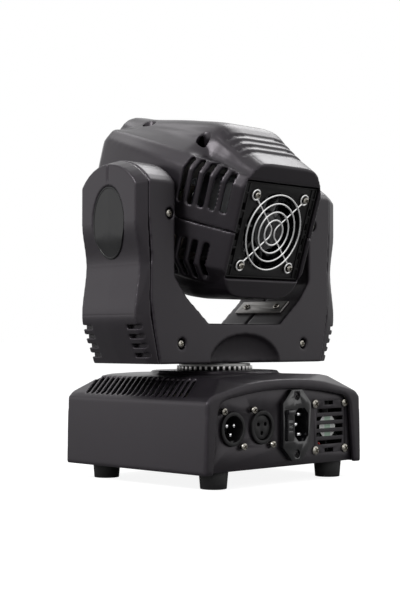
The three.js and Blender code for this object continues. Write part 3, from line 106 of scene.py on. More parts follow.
class EdgeValues(bpy.types.PropertyGroup):
    head_voxel: length_value("Head grid", "Grid of the head shells before smoothing", 0.0009)
    yoke_voxel: length_value("Yoke grid", "Grid of the yoke shells before smoothing", 0.0010)
    base_voxel: length_value("Base grid", "Grid of the base shell before smoothing", 0.0009)
    cover_voxel: length_value("Cover grid", "Grid of the arm covers before smoothing", 0.0007)
    cover_ridge: length_value("Cover ridge", "Fall of a cover's face from its middle to its edges", 0.0006)
    smooth_rounds: IntProperty(
        name="Smoothing", description="Rounds of smoothing that soften the moulded edges", default=3, min=0)
    kept_share: plain_value("Kept faces", "Share of the faces kept after smoothing", 0.45, min=0.1, max=1)
    small_edge: length_value("Small edge", "Rounding of small pieces", 0.0003)
    edge_segments: IntProperty(
        name="Edge segments", description="Facets across a rounded edge", default=2, min=1)
    crease_angle: angle_value("Crease angle", "Angle from which an edge is rounded", 28)


class FastenerValues(bpy.types.PropertyGroup):
    head_radius: length_value("Base fan screw", "Radius of the base fan's screw heads", 0.0033)
    head_height: length_value("Head height", "Height of a screw head", 0.0018)
    panel_screw_radius: length_value("Panel screw", "Radius of the sockets' screw heads", 0.0026)
    guard_screw_radius: length_value("Guard screw", "Radius of the guard's screw heads", 0.0024)
    yoke_screw_radius: length_value("Yoke screw", "Radius of the yoke's screw heads", 0.0027)
    wire_radius: length_value("Guard wire", "Radius of the guard's wire", 0.00068)
    round_steps: IntProperty(
        name="Round steps", description="Facets round turned pieces", default=64, min=12)


class StudioValues(bpy.types.PropertyGroup):
    camera_place: FloatVectorProperty(
        name="Camera place", description="Where the camera stands", subtype="TRANSLATION", size=3,
        default=(0.6901, 0.6770, 0.0884))
    camera_yaw: angle_value("Camera yaw", "Turn of the view from the rear towards the side", 44.92)
    camera_pitch: angle_value("Camera pitch", "Upward tilt of the view", 1.7)
    lens: plain_value("Lens", "Focal length in millimetres", 79.8)
    floor_color: color_value("Floor colour", "Colour of the floor", (0.26, 0.26, 0.26))
    floor_size: length_value("Floor size", "Half the side of the floor", 30.0)
    floor_glow: plain_value("Floor glow", "White that the camera sees on the floor besides its light", 0.89)
    key_power: plain_value("Key lamp", "Power of the lamp above", 2.3)
    crown_power: plain_value("Crown lamp", "Power of the lamp high at the side", 14.0)
    back_power: plain_value("Back lamp", "Power of the high lamp behind", 6.0)
    fill_power: plain_value("Fill lamp", "Power of the lamps beside", 1.2)
    low_power: plain_value("Low lamp", "Power of the low lamp at the rear", 0.25)
    world_strength: plain_value("Room light", "Strength of the room light", 0.45)


# Materials

GRAIN_DEPTH = 0.00005
TOOTH_ROOT = 0.0262
TOOTH_TIP = 0.0271
TOOTH_TOP = 0.06935


def add_node(tree, kind, values, **settings):
    """Adds a node; plain values are set on its inputs and sockets are linked to them."""
    node = tree.nodes.new("ShaderNode" + kind)
    for key, value in settings.items():
        setattr(node, key, value)
    fill_inputs(tree, node, values)
    return node


def fill_inputs(tree, node, values):
    for key, value in values.items():
        if isinstance(value, bpy.types.NodeSocket):
            tree.links.new(value, node.inputs[key])
        else:
            node.inputs[key].default_value = value


def new_material(name):
    material = bpy.data.materials.new(name)
    material.use_nodes = True
    return material, material.node_tree, material.node_tree.nodes["Principled BSDF"]


def object_place(tree):
    return tree.nodes.new("ShaderNodeTexCoord").outputs["Object"]


def add_noise(tree, scale, detail=3.0, roughness=0.55, place=None):
    return add_node(tree, "TexNoise", {"Scale": scale, "Detail": detail, "Roughness": roughness,
                                       "Vector": place or object_place(tree)}).outputs["Fac"]


def add_ramp(tree, source, low, high, low_stop=0.35, high_stop=0.65):
    ramp = add_node(tree, "ValToRGB", {"Fac": source})
    for element, color, stop in zip(ramp.color_ramp.elements, (low, high), (low_stop, high_stop)):
        element.position = stop
        element.color = (*color, 1)
    return ramp.outputs["Color"]


def add_range(tree, source, low, high, ends="To"):
    """Maps 0 to 1 on the ends, or the ends on 0 to 1."""
    return add_node(tree, "MapRange", {ends + " Min": low, ends + " Max": high, "Value": source}).outputs["Result"]


def add_bump(tree, shader, source, strength, distance):
    bump = add_node(tree, "Bump", {"Strength": strength, "Distance": distance, "Height": source})
    tree.links.new(bump.outputs["Normal"], shader.inputs["Normal"])


def add_mix(tree, share, low, high):
    return add_node(tree, "Mix", {"Factor": share, "A": low, "B": high}, data_type="RGBA").outputs["Result"]


def scaled(color, share):
    return tuple(min(1.0, c * share) for c in color)


def surface_material(name, color, roughness, metallic=0.0, spread=0.12, grain=1500.0, bump=0.15, patch=40.0,
                     coat=0.0, painted_edge_highlight=None, gleam=0.5, gleam_tint=(1, 1, 1)):
    """Plastic, rubber or metal with fine grain, slow colour changes, uneven gloss and, if asked, a painted
    highlight on its outer edges.
    """
    material, tree, shader = new_material(name)
    patches = add_noise(tree, patch, 4.0)
    tint = add_ramp(tree, patches, scaled(color, 1 - spread), scaled(color, 1 + spread))
    if painted_edge_highlight:
        # painted highlight: lighter outer edges of a finely meshed piece
        geometry = tree.nodes.new("ShaderNodeNewGeometry")
        edges = add_ramp(tree, geometry.outputs["Pointiness"], (0, 0, 0), (1, 1, 1), 0.515, 0.60)
        tint = add_mix(tree, edges, tint, (*painted_edge_highlight, 1))
    gloss = add_range(tree, patches, roughness * (1 - spread), min(1.0, roughness * (1 + spread)))
    fill_inputs(tree, shader, {
        "Base Color": tint, "Metallic": metallic, "Roughness": gloss, "Coat Weight": coat,
        "Specular IOR Level": gleam, "Specular Tint": (*gleam_tint, 1)})
    add_bump(tree, shader, add_noise(tree, grain, 2.0), bump, GRAIN_DEPTH)
    return material


def brushed_material(name, color, roughness, stretch, contrast=0.2):
    """Metal with drawn lines along one axis."""
    material, tree, shader = new_material(name)
    mapping = add_node(tree, "Mapping", {"Scale": stretch, "Vector": object_place(tree)})
    lines = add_noise(tree, 1.0, 4.0, 0.5, mapping.outputs["Vector"])
    fill_inputs(tree, shader, {
        "Base Color": add_ramp(tree, lines, scaled(color, 1 - contrast), color), "Metallic": 1.0,
        "Roughness": add_range(tree, lines, roughness * 0.75, roughness * 1.25)})
    add_bump(tree, shader, lines, 0.2, 0.00003)
    return material


def ring_material(name, color):
    """Toothed ring: bright tips, painted shade in the gaps between the teeth and a darker band above the teeth."""
    material, tree, shader = new_material(name)
    place = object_place(tree)
    flat = add_node(tree, "VectorMath", {0: place, 1: (1, 1, 0)}, operation="MULTIPLY")
    reach = add_node(tree, "VectorMath", {0: flat.outputs["Vector"]}, operation="LENGTH")
    share = add_range(tree, reach.outputs["Value"], TOOTH_ROOT, TOOTH_TIP, "From")
    # painted shade: dark towards the roots of the teeth, bright at their tips
    teeth = add_ramp(tree, share, (0.012, 0.012, 0.012), color, 0.1, 0.9)
    height = add_node(tree, "SeparateXYZ", {"Vector": place}).outputs["Z"]
    above = add_node(tree, "Math", {0: height, 1: TOOTH_TOP}, operation="GREATER_THAN")
    band = (*scaled(color, 0.42), 1)
    fill_inputs(tree, shader, {
        "Base Color": add_mix(tree, above.outputs["Value"], teeth, band), "Metallic": 1.0, "Roughness": 0.3})
    return material


def glass_material():
    """Front lens: clear glass with faint unevenness."""
    material, tree, shader = new_material("lens_glass")
    patches = add_noise(tree, 30.0)
    fill_inputs(tree, shader, {
        "Base Color": add_ramp(tree, patches, (0.82, 0.88, 0.92), (0.88, 0.92, 0.95)),
        "Transmission Weight": 0.9, "Roughness": 0.04, "IOR": 1.5})
    add_bump(tree, shader, patches, 0.02, 0.0001)
    return material


def board_material():
    """Lacquered circuit board with tracks and pads."""
    material, tree, shader = new_material("board")
    cells = add_node(tree, "TexBrick", {
        "Scale": 220.0, "Mortar Size": 0.03, "Color1": (0.020, 0.095, 0.040, 1),
        "Color2": (0.025, 0.115, 0.050, 1), "Mortar": (0.30, 0.24, 0.10, 1), "Vector": object_place(tree)})
    fill_inputs(tree, shader, {"Base Color": cells.outputs["Color"], "Roughness": 0.35})
    add_bump(tree, shader, cells.outputs["Fac"], 0.3, 0.0001)
    return material


def label_material(color, centre, width):
    """Printed paper label: white with a pale green band through its middle."""
    material, tree, shader = new_material("hub_label")
    mapping = add_node(tree, "Mapping", {"Location": (-centre, 0, 0), "Vector": object_place(tree)})
    split = add_node(tree, "SeparateXYZ", {"Vector": mapping.outputs["Vector"]})
    side = add_node(tree, "Math", {0: split.outputs["X"]}, operation="ABSOLUTE")
    band = add_range(tree, side.outputs["Value"], width * 0.8, width, "From")
    fill_inputs(tree, shader, {
        "Base Color": add_ramp(tree, band, color, (0.92, 0.94, 0.92), 0.0, 1.0), "Roughness": 0.5})
    add_bump(tree, shader, add_noise(tree, 1800.0), 0.1, GRAIN_DEPTH)
    return material


materials = {}


def make_materials(values):
    shell = tuple(values.shell_color)
    moulded = dict(spread=0.10, grain=values.grain_scale, bump=0.12, gleam=values.shell_gleam,
                   gleam_tint=tuple(values.gleam_tint))
    rough = values.shell_roughness
    for slot, name, color, roughness, settings in (
        # the charcoal shells get a painted highlight on their outer edges
        ("charcoal", "charcoal_plastic", shell, rough, dict(moulded, painted_edge_highlight=scaled(shell, 3.0))),
        ("plain_charcoal", "panel_charcoal", shell, rough, moulded),
        ("dark_plastic", "dark_plastic", values.dark_color, 0.42, dict(spread=0.15, grain=2000.0, gleam=0.3)),
        ("gloss_black", "gloss_black", (0.006, 0.006, 0.007), 0.22,
         dict(spread=0.2, grain=900.0, bump=0.03, coat=0.3)),
        ("rubber", "foot_rubber", (0.012, 0.0115, 0.012), 0.70, dict(spread=0.2, grain=1400.0, bump=0.4)),
        ("bright_steel", "plated_steel", values.steel_color, 0.16,
         dict(metallic=1.0, spread=0.08, grain=700.0, bump=0.05)),
        ("brass", "brass", (0.55, 0.38, 0.14), 0.3, dict(metallic=1.0, spread=0.1)),
        ("colour_plate", "filter_plate", (0.42, 0.36, 0.30), 0.2, dict(metallic=0.6, spread=0.3, patch=120.0)),
        ("pale_plastic", "fan_rotor_plastic", (0.02, 0.02, 0.02), 0.5, dict(spread=0.08)),
        ("badge", "badge_lacquer", (0.004, 0.004, 0.0045), 0.34, dict(grain=1800.0, bump=0.04, gleam=0.3)),
        ("guard_wire", "guard_wire", values.wire_steel, 0.28,
         dict(metallic=1.0, spread=0.04, grain=900.0, bump=0.03)),
        ("rotor_black", "rotor_black", (0.010, 0.010, 0.011), 0.22,
         dict(spread=0.15, grain=900.0, bump=0.03, gleam=0.7)),
        ("screw_steel", "screw_steel", values.screw_color, 0.26, dict(metallic=1.0, grain=900.0, bump=0.05)),
        ("dark_screw", "black_screw", (0.05, 0.048, 0.05), 0.32,
         dict(metallic=0.8, spread=0.15, grain=900.0, bump=0.05)),
        ("fan_lead", "fan_lead", values.wire_color, 0.5, dict(spread=0.1)),
    ):
        materials[slot] = surface_material(name, tuple(color), roughness, **settings)
    materials["grey_metal"] = brushed_material(
        "zinc_plate", tuple(values.zinc_color), 0.42, (300.0, 2400.0, 2400.0), 0.06)
    materials["aluminium"] = brushed_material("bare_aluminium", (0.55, 0.56, 0.58), 0.35, (200.0, 2000.0, 2000.0))
    materials["board"] = board_material()
    materials["lens_glass"] = glass_material()
    materials["bright_ring"] = ring_material("turned_ring", tuple(values.ring_color))
    materials["hub_label"] = label_material(tuple(values.label_color), FAN_CENTRE[0], 0.0035)


# Shape helpers

MERGE_GAP = 0.0000005
CALM_ROUNDS = 16
SMOOTH_ANGLE = math.radians(32)
MOULDED_ANGLE = math.radians(75)


def share_slopes(stations, shares):
    """Slopes of a smooth curve through the shares that never overshoots them."""
    steps = [(shares[i + 1] - shares[i]) / (stations[i + 1] - stations[i]) for i in range(len(shares) - 1)]
    slopes = [steps[0]]
    for before, after in zip(steps, steps[1:]):
        slopes.append(0.0 if before * after <= 0 else 2 * before * after / (before + after))
    slopes.append(steps[-1])
    return slopes


def smooth_value(stations, shares, slopes, i, t):
    """Height of the smooth curve at the share t of its piece i."""
    gap = stations[i + 1] - stations[i]
    return ((1 + 2 * t) * (1 - t) ** 2 * shares[i] + t * (1 - t) ** 2 * gap * slopes[i]
            + t * t * (3 - 2 * t) * shares[i + 1] + t * t * (t - 1) * gap * slopes[i + 1])


def piece_at(stations, place):
    """Number of the piece that a place lies in and how far along it."""
    i = max(k for k in range(len(stations) - 1) if stations[k] <= place)
    return i, (place - stations[i]) / (stations[i + 1] - stations[i])


def smoothing_table(stations, shares, count=400):
    """How far a smooth curve lies above the straight pieces between the shares, as a row of ratios."""
    slopes = share_slopes(stations, shares)
    table = []
    for n in range(count + 1):
        place = stations[0] + (stations[-1] - stations[0]) * n / count
        i, t = piece_at(stations, place)
        straight = shares[i] + (shares[i + 1] - shares[i]) * t
        table.append((straight, smooth_value(stations, shares, slopes, i, t) / straight))
    return table


def table_value(table, place):
    """Straight share and smoothing ratio at a place from 0 to 1."""
    x = min(max(place, 0.0), 1.0) * (len(table) - 1)
    i = min(int(x), len(table) - 2)
    t = x - i
    return (table[i][0] * (1 - t) + table[i + 1][0] * t, table[i][1] * (1 - t) + table[i + 1][1] * t)


def blend_in(value, start, end):
    t = min(max((value - start) / (end - start), 0.0), 1.0)
    return t * t * (3 - 2 * t)


def mesh_of(bm, name):
    """Turns a bmesh into a mesh and frees it."""
    mesh = bpy.data.meshes.new(name)
    bm.to_mesh(mesh)
    bm.free()
    return mesh


def new_object(name, data):
    obj = bpy.data.objects.new(name, data)
    bpy.context.scene.collection.objects.link(obj)
    return obj


def evaluated_copy(obj):
    """The mesh of an object with its modifiers applied; the object is removed."""
    graph = bpy.context.evaluated_depsgraph_get()
    mesh = bpy.data.meshes.new_from_object(obj.evaluated_get(graph))
    bpy.data.objects.remove(obj)
    return mesh


def working_object(bm):
    return new_object("working", mesh_of(bm, "working"))


def bmesh_of(mesh):
    bm = bmesh.new()
    bm.from_mesh(mesh)
    bpy.data.meshes.remove(mesh)
    return bm


def soften(bm, verts, rounds):
    for _ in range(rounds):
        bmesh.ops.smooth_vert(bm, verts=verts, factor=0.5, use_axis_x=True, use_axis_y=True, use_axis_z=True)


def moulded_mesh(bm, voxel, rounds, kept, warp, calm):
    """A finely meshed copy of a solid with softened edges, reshaped by the warp."""
    obj = working_object(bm)
    grid = obj.modifiers.new("grid", "REMESH")
    grid.mode = "VOXEL"
    grid.voxel_size = voxel
    bm = bmesh_of(evaluated_copy(obj))
    soften(bm, bm.verts, rounds)
    if warp:
        for vert in bm.verts:
            vert.co = warp(vert.co)
    if calm:
        soften(bm, [vert for vert in bm.verts if calm(vert.co)], CALM_ROUNDS)
    obj = working_object(bm)
    thin = obj.modifiers.new("thin", "DECIMATE")
    thin.ratio = kept
    return bmesh_of(evaluated_copy(obj))


def cut_mesh(bm, cutter):
    """Takes the cutter out of a closed shape."""
    obj = working_object(bm)
    tool = working_object(cutter)
    cut = obj.modifiers.new("cut", "BOOLEAN")
    cut.operation = "DIFFERENCE"
    cut.solver = "EXACT"
    cut.object = tool
    mesh = evaluated_copy(obj)
    bpy.data.objects.remove(tool)
    return bmesh_of(mesh)


def closed_up(bm):
    """Merges a shape's doubled points and turns its faces outwards."""
    bmesh.ops.remove_doubles(bm, verts=bm.verts, dist=MERGE_GAP)
    bmesh.ops.recalc_face_normals(bm, faces=bm.faces)
    return bm


def full_spin(bm, geom, steps):
    bmesh.ops.spin(bm, geom=geom, cent=(0, 0, 0), axis=(0, 0, 1), angle=2 * math.pi, steps=steps,
                   use_merge=True, use_duplicate=False)
    return closed_up(bm)


def turned_shape(profile, steps):
    """Turns a profile of (radius, height) points that starts and ends on the Z axis."""
    bm = bmesh.new()
    verts = [bm.verts.new((radius, 0, height)) for radius, height in profile]
    edges = [bm.edges.new(pair) for pair in zip(verts, verts[1:])]
    return full_spin(bm, verts + edges, steps)


def ring_shape(radius, tube, steps, sides):
    """A wire ring round the Z axis."""
    bm = bmesh.new()
    upright = Matrix.Translation((radius, 0, 0)) @ Matrix.Rotation(math.pi / 2, 4, "X")
    circle = bmesh.ops.create_circle(bm, cap_ends=False, radius=tube, segments=sides, matrix=upright)
    edges = list({edge for vert in circle["verts"] for edge in vert.link_edges})
    return full_spin(bm, circle["verts"] + edges, steps)


def placed(bm, matrix):
    bmesh.ops.transform(bm, matrix=matrix, verts=bm.verts)
    return bm


def add_shape(target, shape):
    """Adds one bmesh to another."""
    mesh = mesh_of(shape, "added")
    target.from_mesh(mesh)
    bpy.data.meshes.remove(mesh)


def facing(place, direction, turn=0.0):
    """Matrix that puts the origin at a place with +Z along a direction."""
    return (Matrix.Translation(place) @ Vector(direction).to_track_quat("Z", "Y").to_matrix().to_4x4()
            @ Matrix.Rotation(turn, 4, "Z"))


def wire_mesh(points, radius):
    """A round wire along points."""
    data = bpy.data.curves.new("wire", "CURVE")
    data.dimensions = "3D"
    data.bevel_depth = radius
    data.bevel_resolution = 3
    data.use_fill_caps = True
    line = data.splines.new("BEZIER")
    line.bezier_points.add(len(points) - 1)
    for knot, place in zip(line.bezier_points, points):
        knot.co = place
        knot.handle_left_type = knot.handle_right_type = "AUTO"
    line.resolution_u = 8
    bm = bmesh_of(evaluated_copy(new_object("wire", data)))
    bpy.data.curves.remove(data)
    return closed_up(bm)


def round_edges(bm, width, segments, angle):
    """Rounds the edges that turn by more than the angle."""
    edges = []
    for edge in bm.edges:
        if len(edge.link_faces) == 2 and edge.calc_face_angle(0.0) >= angle:
            edges.append(edge)
    if edges and width > 0:
        bmesh.ops.bevel(bm, geom=edges, offset=width, offset_type="OFFSET", segments=segments, profile=0.5,
                        affect="EDGES", clamp_overlap=True, material=-1)


def copy_solid(node):
    """A merged bmesh of a solid without the cuts between its flat triangles."""
    bm = bmesh.new()
    bm.from_mesh(frame["nodes"][node].data)
    bmesh.ops.remove_doubles(bm, verts=bm.verts, dist=0.00001)
    bmesh.ops.dissolve_limit(bm, angle_limit=math.radians(1.0), verts=bm.verts, edges=bm.edges)
    return bm


def body_name(node):
    for name, nodes in frame["record"]["behaviour"]["bodies"].items():
        if node in nodes:
            return name
    raise RuntimeError("no body holds " + node)


def slot_name(node):
    for row in frame["record"]["subparts"]:
        if row["node"] == node:
            return row["material_slot"]
    raise RuntimeError("no slot for " + node)


def finish_piece(name, bm, body, slot, nodes=(), angle=SMOOTH_ANGLE, material=None):
    """Makes an object of a bmesh; it rides on a body and stands for the nodes."""
    mesh = mesh_of(bm, name)
    for face in mesh.polygons:
        face.use_smooth = True
    mesh.set_sharp_from_angle(angle=angle)
    mesh.materials.append(materials[material or slot])
    piece = new_object(name, mesh)
    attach(piece, body)
    if nodes:
        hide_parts(*nodes)


def stand_for(node, bm, angle=SMOOTH_ANGLE, material=None):
    """Makes the object that stands for one solid."""
    finish_piece("dressed_" + node, bm, body_name(node), slot_name(node), [node], angle, material)


def split_large_faces(bm):
    bmesh.ops.triangulate(bm, faces=[f for f in bm.faces if len(f.verts) > 4])


def stand_rounded(node, bm, values, material=None):
    """Stands for a solid with a shape whose edges are rounded first."""
    round_edges(bm, values.small_edge, values.edge_segments, values.crease_angle)
    split_large_faces(bm)
    stand_for(node, bm, material=material)


def rounded_piece(node, values, material=None):
    stand_rounded(node, copy_solid(node), values, material)


def moulded_piece(node, voxel, values, warp=None, calm=None, cutters=()):
    """Stands for a moulded shell; calm areas are softened more, and cutters make its wells."""
    bm = moulded_mesh(copy_solid(node), voxel, values.smooth_rounds, values.kept_share, warp, calm)
    for cutter in cutters:
        bm = cut_mesh(bm, cutter)
    stand_for(node, bm, MOULDED_ANGLE)


def add_box(bm, centre, size):
    bmesh.ops.create_cube(bm, size=1.0, matrix=Matrix.Translation(centre) @ Matrix.Diagonal((*size, 1)))


# The head's curves: the solids run straight between stations, the real shell is curved

HEAD_TILT = math.radians(18.1)
TILT_HEIGHT = 0.1795
HEAD_FRONT = -0.079
HEAD_LENGTH = 0.1395
WIDTH_STATIONS = (0, 0.086, 0.423, 0.71, 0.82, 0.92, 1)
WIDTH_SHARES = (0.785, 0.912, 1, 0.95, 0.855, 0.73, 0.635)
TOP_SHARES = (0.82, 0.985, 1, 0.98, 0.96, 0.92, 0.89)
BOTTOM_SHARES = (0.8, 0.95, 1, 1, 1, 0.98, 0.95)
HUMP_STATIONS = (0, 0.093, 0.45, 0.667, 0.753, 0.83, 0.91, 1)
HUMP_WIDTH_SHARES = (0.898, 0.936, 0.998, 0.949, 0.915, 0.882, 0.877, 0.843)
HUMP_HEIGHT_SHARES = (0.551, 0.593, 0.874, 0.997, 0.847, 0.703, 0.544, 0.415)
BELLY_WIDTH_SHARES = (0.8, 0.9, 1, 1, 0.98, 0.94, 0.9, 0.84)
BELLY_DEPTH_SHARES = (0.46, 0.7, 0.96, 1, 0.94, 0.83, 0.68, 0.52)
OUTLINE_POINTS = ((1, 0), (0.93, 0.4), (0.84, 0.7), (0.68, 0.92), (0.4, 1), (0, 1))
OUTLINE_ANGLES = tuple(math.degrees(math.atan2(v, u)) / 90 for u, v in OUTLINE_POINTS)
OUTLINE_RADII = tuple(math.hypot(u, v) for u, v in OUTLINE_POINTS)
HEAD_HALF = 0.064
SHOULDER_HEIGHT = 0.044
HUMP_HALF = 0.045
HUMP_BASE = 0.036
HUMP_RISE = 0.032
BELLY_BASE = 0.032
BELLY_DROP = 0.026


def head_matrix():
    return Matrix.Translation((0, 0, TILT_HEIGHT)) @ Matrix.Rotation(-HEAD_TILT, 4, "X")


def outline_table(count=180):
    """Ratio of the smooth cross section of the hump to its polygon, by angle above the horizontal."""
    slopes = share_slopes(OUTLINE_ANGLES, OUTLINE_RADII)
    slopes[-1] = 0.0
    table = []
    for n in range(count + 1):
        place = n / count
        i, t = piece_at(OUTLINE_ANGLES, place)
        curved = smooth_value(OUTLINE_ANGLES, OUTLINE_RADII, slopes, i, t)
        (u0, v0), (u1, v1) = OUTLINE_POINTS[i], OUTLINE_POINTS[i + 1]
        angle = math.radians(90 * place)
        c, s = math.cos(angle), math.sin(angle)
        straight = (u0 * v1 - u1 * v0) / (c * (v1 - v0) - s * (u1 - u0))
        table.append((straight, min(curved / straight, 1 / (straight * s) if s > 0.5 else 2.0)))
    return table


class HeadCurves:
    """Reshapes a point of the head shells from straight stations to smooth curves."""

    def __init__(self):
        self.width = smoothing_table(WIDTH_STATIONS, WIDTH_SHARES)
        self.top = smoothing_table(WIDTH_STATIONS, TOP_SHARES)
        self.bottom = smoothing_table(WIDTH_STATIONS, BOTTOM_SHARES)
        self.hump_width = smoothing_table(HUMP_STATIONS, HUMP_WIDTH_SHARES)
        self.hump_height = smoothing_table(HUMP_STATIONS, HUMP_HEIGHT_SHARES)
        self.belly_width = smoothing_table(HUMP_STATIONS, BELLY_WIDTH_SHARES)
        self.belly_depth = smoothing_table(HUMP_STATIONS, BELLY_DEPTH_SHARES)
        self.outline = outline_table()
        self.to_world = head_matrix()
        self.to_head = self.to_world.inverted()

    def crown(self, x, z, place, base, depth, widths, depths):
        """A point over the base level of the hump, or with z downwards of the belly."""
        wide, wide_ratio = table_value(widths, place)
        high, high_ratio = table_value(depths, place)
        u = x / (HUMP_HALF * wide)
        v = (z - base) / (depth * high)
        angle = math.atan2(v, abs(u)) / (math.pi / 2)
        edge, round_ratio = table_value(self.outline, angle)
        reach = min(math.hypot(u, v) / edge, 1.0)
        ratio = 1 + (round_ratio - 1) * blend_in(reach, 0.5, 0.9)
        return u * ratio * HUMP_HALF * wide * wide_ratio, base + v * ratio * depth * high * high_ratio

    def fillet(self, x, y, z, place):
        """Height of the fold between the shoulder and the hump, which the solids leave as a step."""
        shoulder = table_value(self.top, place)[0] * SHOULDER_HEIGHT
        if z < shoulder - 0.0012:
            return z
        outer = table_value(self.width, place)[0] * HEAD_HALF * 0.92
        inner = table_value(self.hump_width, place)[0] * HUMP_HALF * 0.80
        crest = HUMP_BASE + table_value(self.hump_height, place)[0] * HUMP_RISE * 0.76
        if not inner < abs(x) < outer or crest <= shoulder:
            return z
        share = (outer - abs(x)) / (outer - inner)
        line = shoulder + (crest - shoulder) * share ** 1.15
        amount = 0.9 * blend_in(place, 0.02, 0.2) * (1 - blend_in(y, 0.010, 0.024))
        return z + max(line - z, 0.0) * amount

    def __call__(self, co):
        x, y, z = self.to_head @ co
        place = (y - HEAD_FRONT) / HEAD_LENGTH
        if z > 0:
            z = self.fillet(x, y, z, place)
        wide = table_value(self.width, place)[1]
        tall = table_value(self.top if z > 0 else self.bottom, place)[1]
        new_x, new_z = x * wide, z * tall
        if abs(z) > BELLY_BASE:
            if z > 0:
                part = self.crown(x, z, place, HUMP_BASE, HUMP_RISE, self.hump_width, self.hump_height)
                near = table_value(self.hump_width, place)[0] * HUMP_HALF
                share = blend_in(z, 0.036, 0.046)
            else:
                low_x, low_z = self.crown(x, -z, place, BELLY_BASE, BELLY_DROP, self.belly_width,
                                          self.belly_depth)
                part = (low_x, -low_z)
                near = table_value(self.belly_width, place)[0] * HUMP_HALF
                share = blend_in(-z, 0.034, 0.044)
            share *= 1 - blend_in(abs(x), near + 0.001, near + 0.008)
            new_x += (part[0] - new_x) * share
            new_z += (part[1] - new_z) * share
        return self.to_world @ Vector((new_x, y, new_z))


# The yoke's covers: outer and body lines by height

COVER_BOTTOM = 0.0720
COVER_TOP = 0.1713
COVER_STATIONS = (0, 0.33, 0.67, 0.97, 1)
COVER_BODY_SHARES = (0.8938, 0.9767, 0.9822, 1.0032, 1.0032)
COVER_OUTER_SHARES = (0.9856, 1.1039, 1.063, 1.1061, 1.1061)
YOKE_HALF_WIDTH = 0.0933
FACE_HALF = 0.0275
COVER_SEAM = 0.00035
GROOVE_DEPTH = 0.0007
BADGE_HEIGHT = 0.1670


class CoverCurves:
    """Bends the straight pieces of an arm cover to one smooth line and gives its face a soft ridge."""

    def __init__(self, ridge):
        self.body = smoothing_table(COVER_STATIONS, COVER_BODY_SHARES)
        self.outer = smoothing_table(COVER_STATIONS, COVER_OUTER_SHARES)
        self.ridge = ridge

    def face(self, z):
        straight, ratio = table_value(self.outer, (z - COVER_BOTTOM) / (COVER_TOP - COVER_BOTTOM))
        return straight * YOKE_HALF_WIDTH, straight * ratio * YOKE_HALF_WIDTH

    def __call__(self, co):
        body = table_value(self.body, (co.z - COVER_BOTTOM) / (COVER_TOP - COVER_BOTTOM))[0] * YOKE_HALF_WIDTH
        straight, curved = self.face(co.z)
        side = 1 if co.x > 0 else -1
        share = min(max((abs(co.x) - body) / (straight - body), 0.0), 1.0)
        drop = self.ridge * min(abs(co.y) / FACE_HALF, 1.0)
        groove = GROOVE_DEPTH * blend_in(co.z, 0.1935, 0.196) * (1 - blend_in(abs(co.y), 0.0004, 0.0012))
        seat = COVER_SEAM * (1 - blend_in(share, 0.0, 0.15))
        return Vector((co.x + side * (share * (curved - straight - drop - groove) - seat), co.y, co.z))


# Screws and other small turned pieces

def screw_shape(radius, height, steps):
    """Domed head with a cross recess that stands on the XY plane."""
    head = turned_shape([(0, 0), (radius * 0.93, 0), (radius, height * 0.2), (radius * 0.97, height * 0.45),
                         (radius * 0.84, height * 0.75), (radius * 0.55, height * 0.95), (0, height)], steps)
    for turn in (0, math.pi / 2):
        cutter = bmesh.new()
        bmesh.ops.create_cube(cutter, size=1.0, matrix=Matrix.Rotation(turn, 4, "Z") @ Matrix.Translation(
            (0, 0, height)) @ Matrix.Diagonal((radius * 1.25, radius * 0.36, height * 1.7, 1)))
        head = cut_mesh(head, cutter)
    return head


def screw_mesh(place, direction, radius, height, steps, shank, turn=0.6):
    """One screw with its shank below the head."""
    shape = screw_shape(radius, height, steps)
    rod = turned_shape([(0, -shank), (radius * 0.45, -shank), (radius * 0.5, -shank * 0.9),
                        (radius * 0.5, 0.00005), (0, 0.00005)], 24)
    add_shape(shape, rod)
    return placed(shape, facing(place, direction, turn))


# Places on the base's rear, the yoke and the head's fan end

MALE_SOCKET = (0.0518, 0.0290)
FEMALE_SOCKET = (0.0229, 0.0290)
SOCKET_SCREW = (0.0095, 0.0120)
INLET_CENTRE = (-0.0102, 0.0292)
FAN_CENTRE = (-0.0494, 0.0265)
FAN_OPENING = (0.0352, 0.0372)
FAN_SCREW_REACH = 0.0164
SLOT_WIDTHS = (0.0096, 0.0270, 0.0292, 0.0292, 0.0292, 0.0270, 0.0096)
SLOT_PITCH = 0.0056
SLOT_HEIGHT = 0.0029
POCKETS = ((0.0036, 0.0046, 0.0016), (0, 0.0030, 0.0024), (-0.0036, 0.0046, 0.0016))
POCKET_CUT = 0.0030
SCREW_SHANK = 0.0075
SHORT_SHANK = 0.001
PANEL_SCREW_FACE = 0.0686
INLET_SCREW_FACE = 0.0685
INLET_SCREW_REACH = 0.020
INLET_SCREW_RADIUS = 0.0026
INLET_SCREW_HEIGHT = 0.0012
FAN_SCREW_FACE = 0.0670
PIN_ANGLES = (30, 150, 270)
PIN_REACH = 0.004
PIN_START = 0.0592
PIN_RADIUS = 0.00135
PIN_LENGTH = 0.0067
BLADE_CENTRE = (-0.0148, 0.0632)
BLADE_SIZE = (0.0043, 0.0064, 0.0021)
BLADE_STEP = 0.002
BLADE_SPACING = 0.007
LABEL_FACE = 0.0646
LABEL_RADIUS = 0.0093
LABEL_THICKNESS = 0.0002
LEAD_RADIUS = 0.0006
LEAD_POINTS = ((-0.0385, 0.0651, 0.0155), (-0.0400, 0.0654, 0.0135), (-0.0425, 0.0655, 0.0115),
               (-0.0435, 0.0653, 0.0090), (-0.0420, 0.0650, 0.0070))
GUARD_REACH = 0.025
GUARD_CENTRE = 0.002
GUARD_SCREW_FACE = 0.0599
WIRE_FACE = 0.0590
RING_FACE = 0.0598
RING_SHARES = (1.075, 0.83, 0.59, 0.36)
LOOP_RADIUS = 0.0035
BEZEL_CENTRE = 0.0022
BEZEL_BAR_MIDDLE = 0.0581
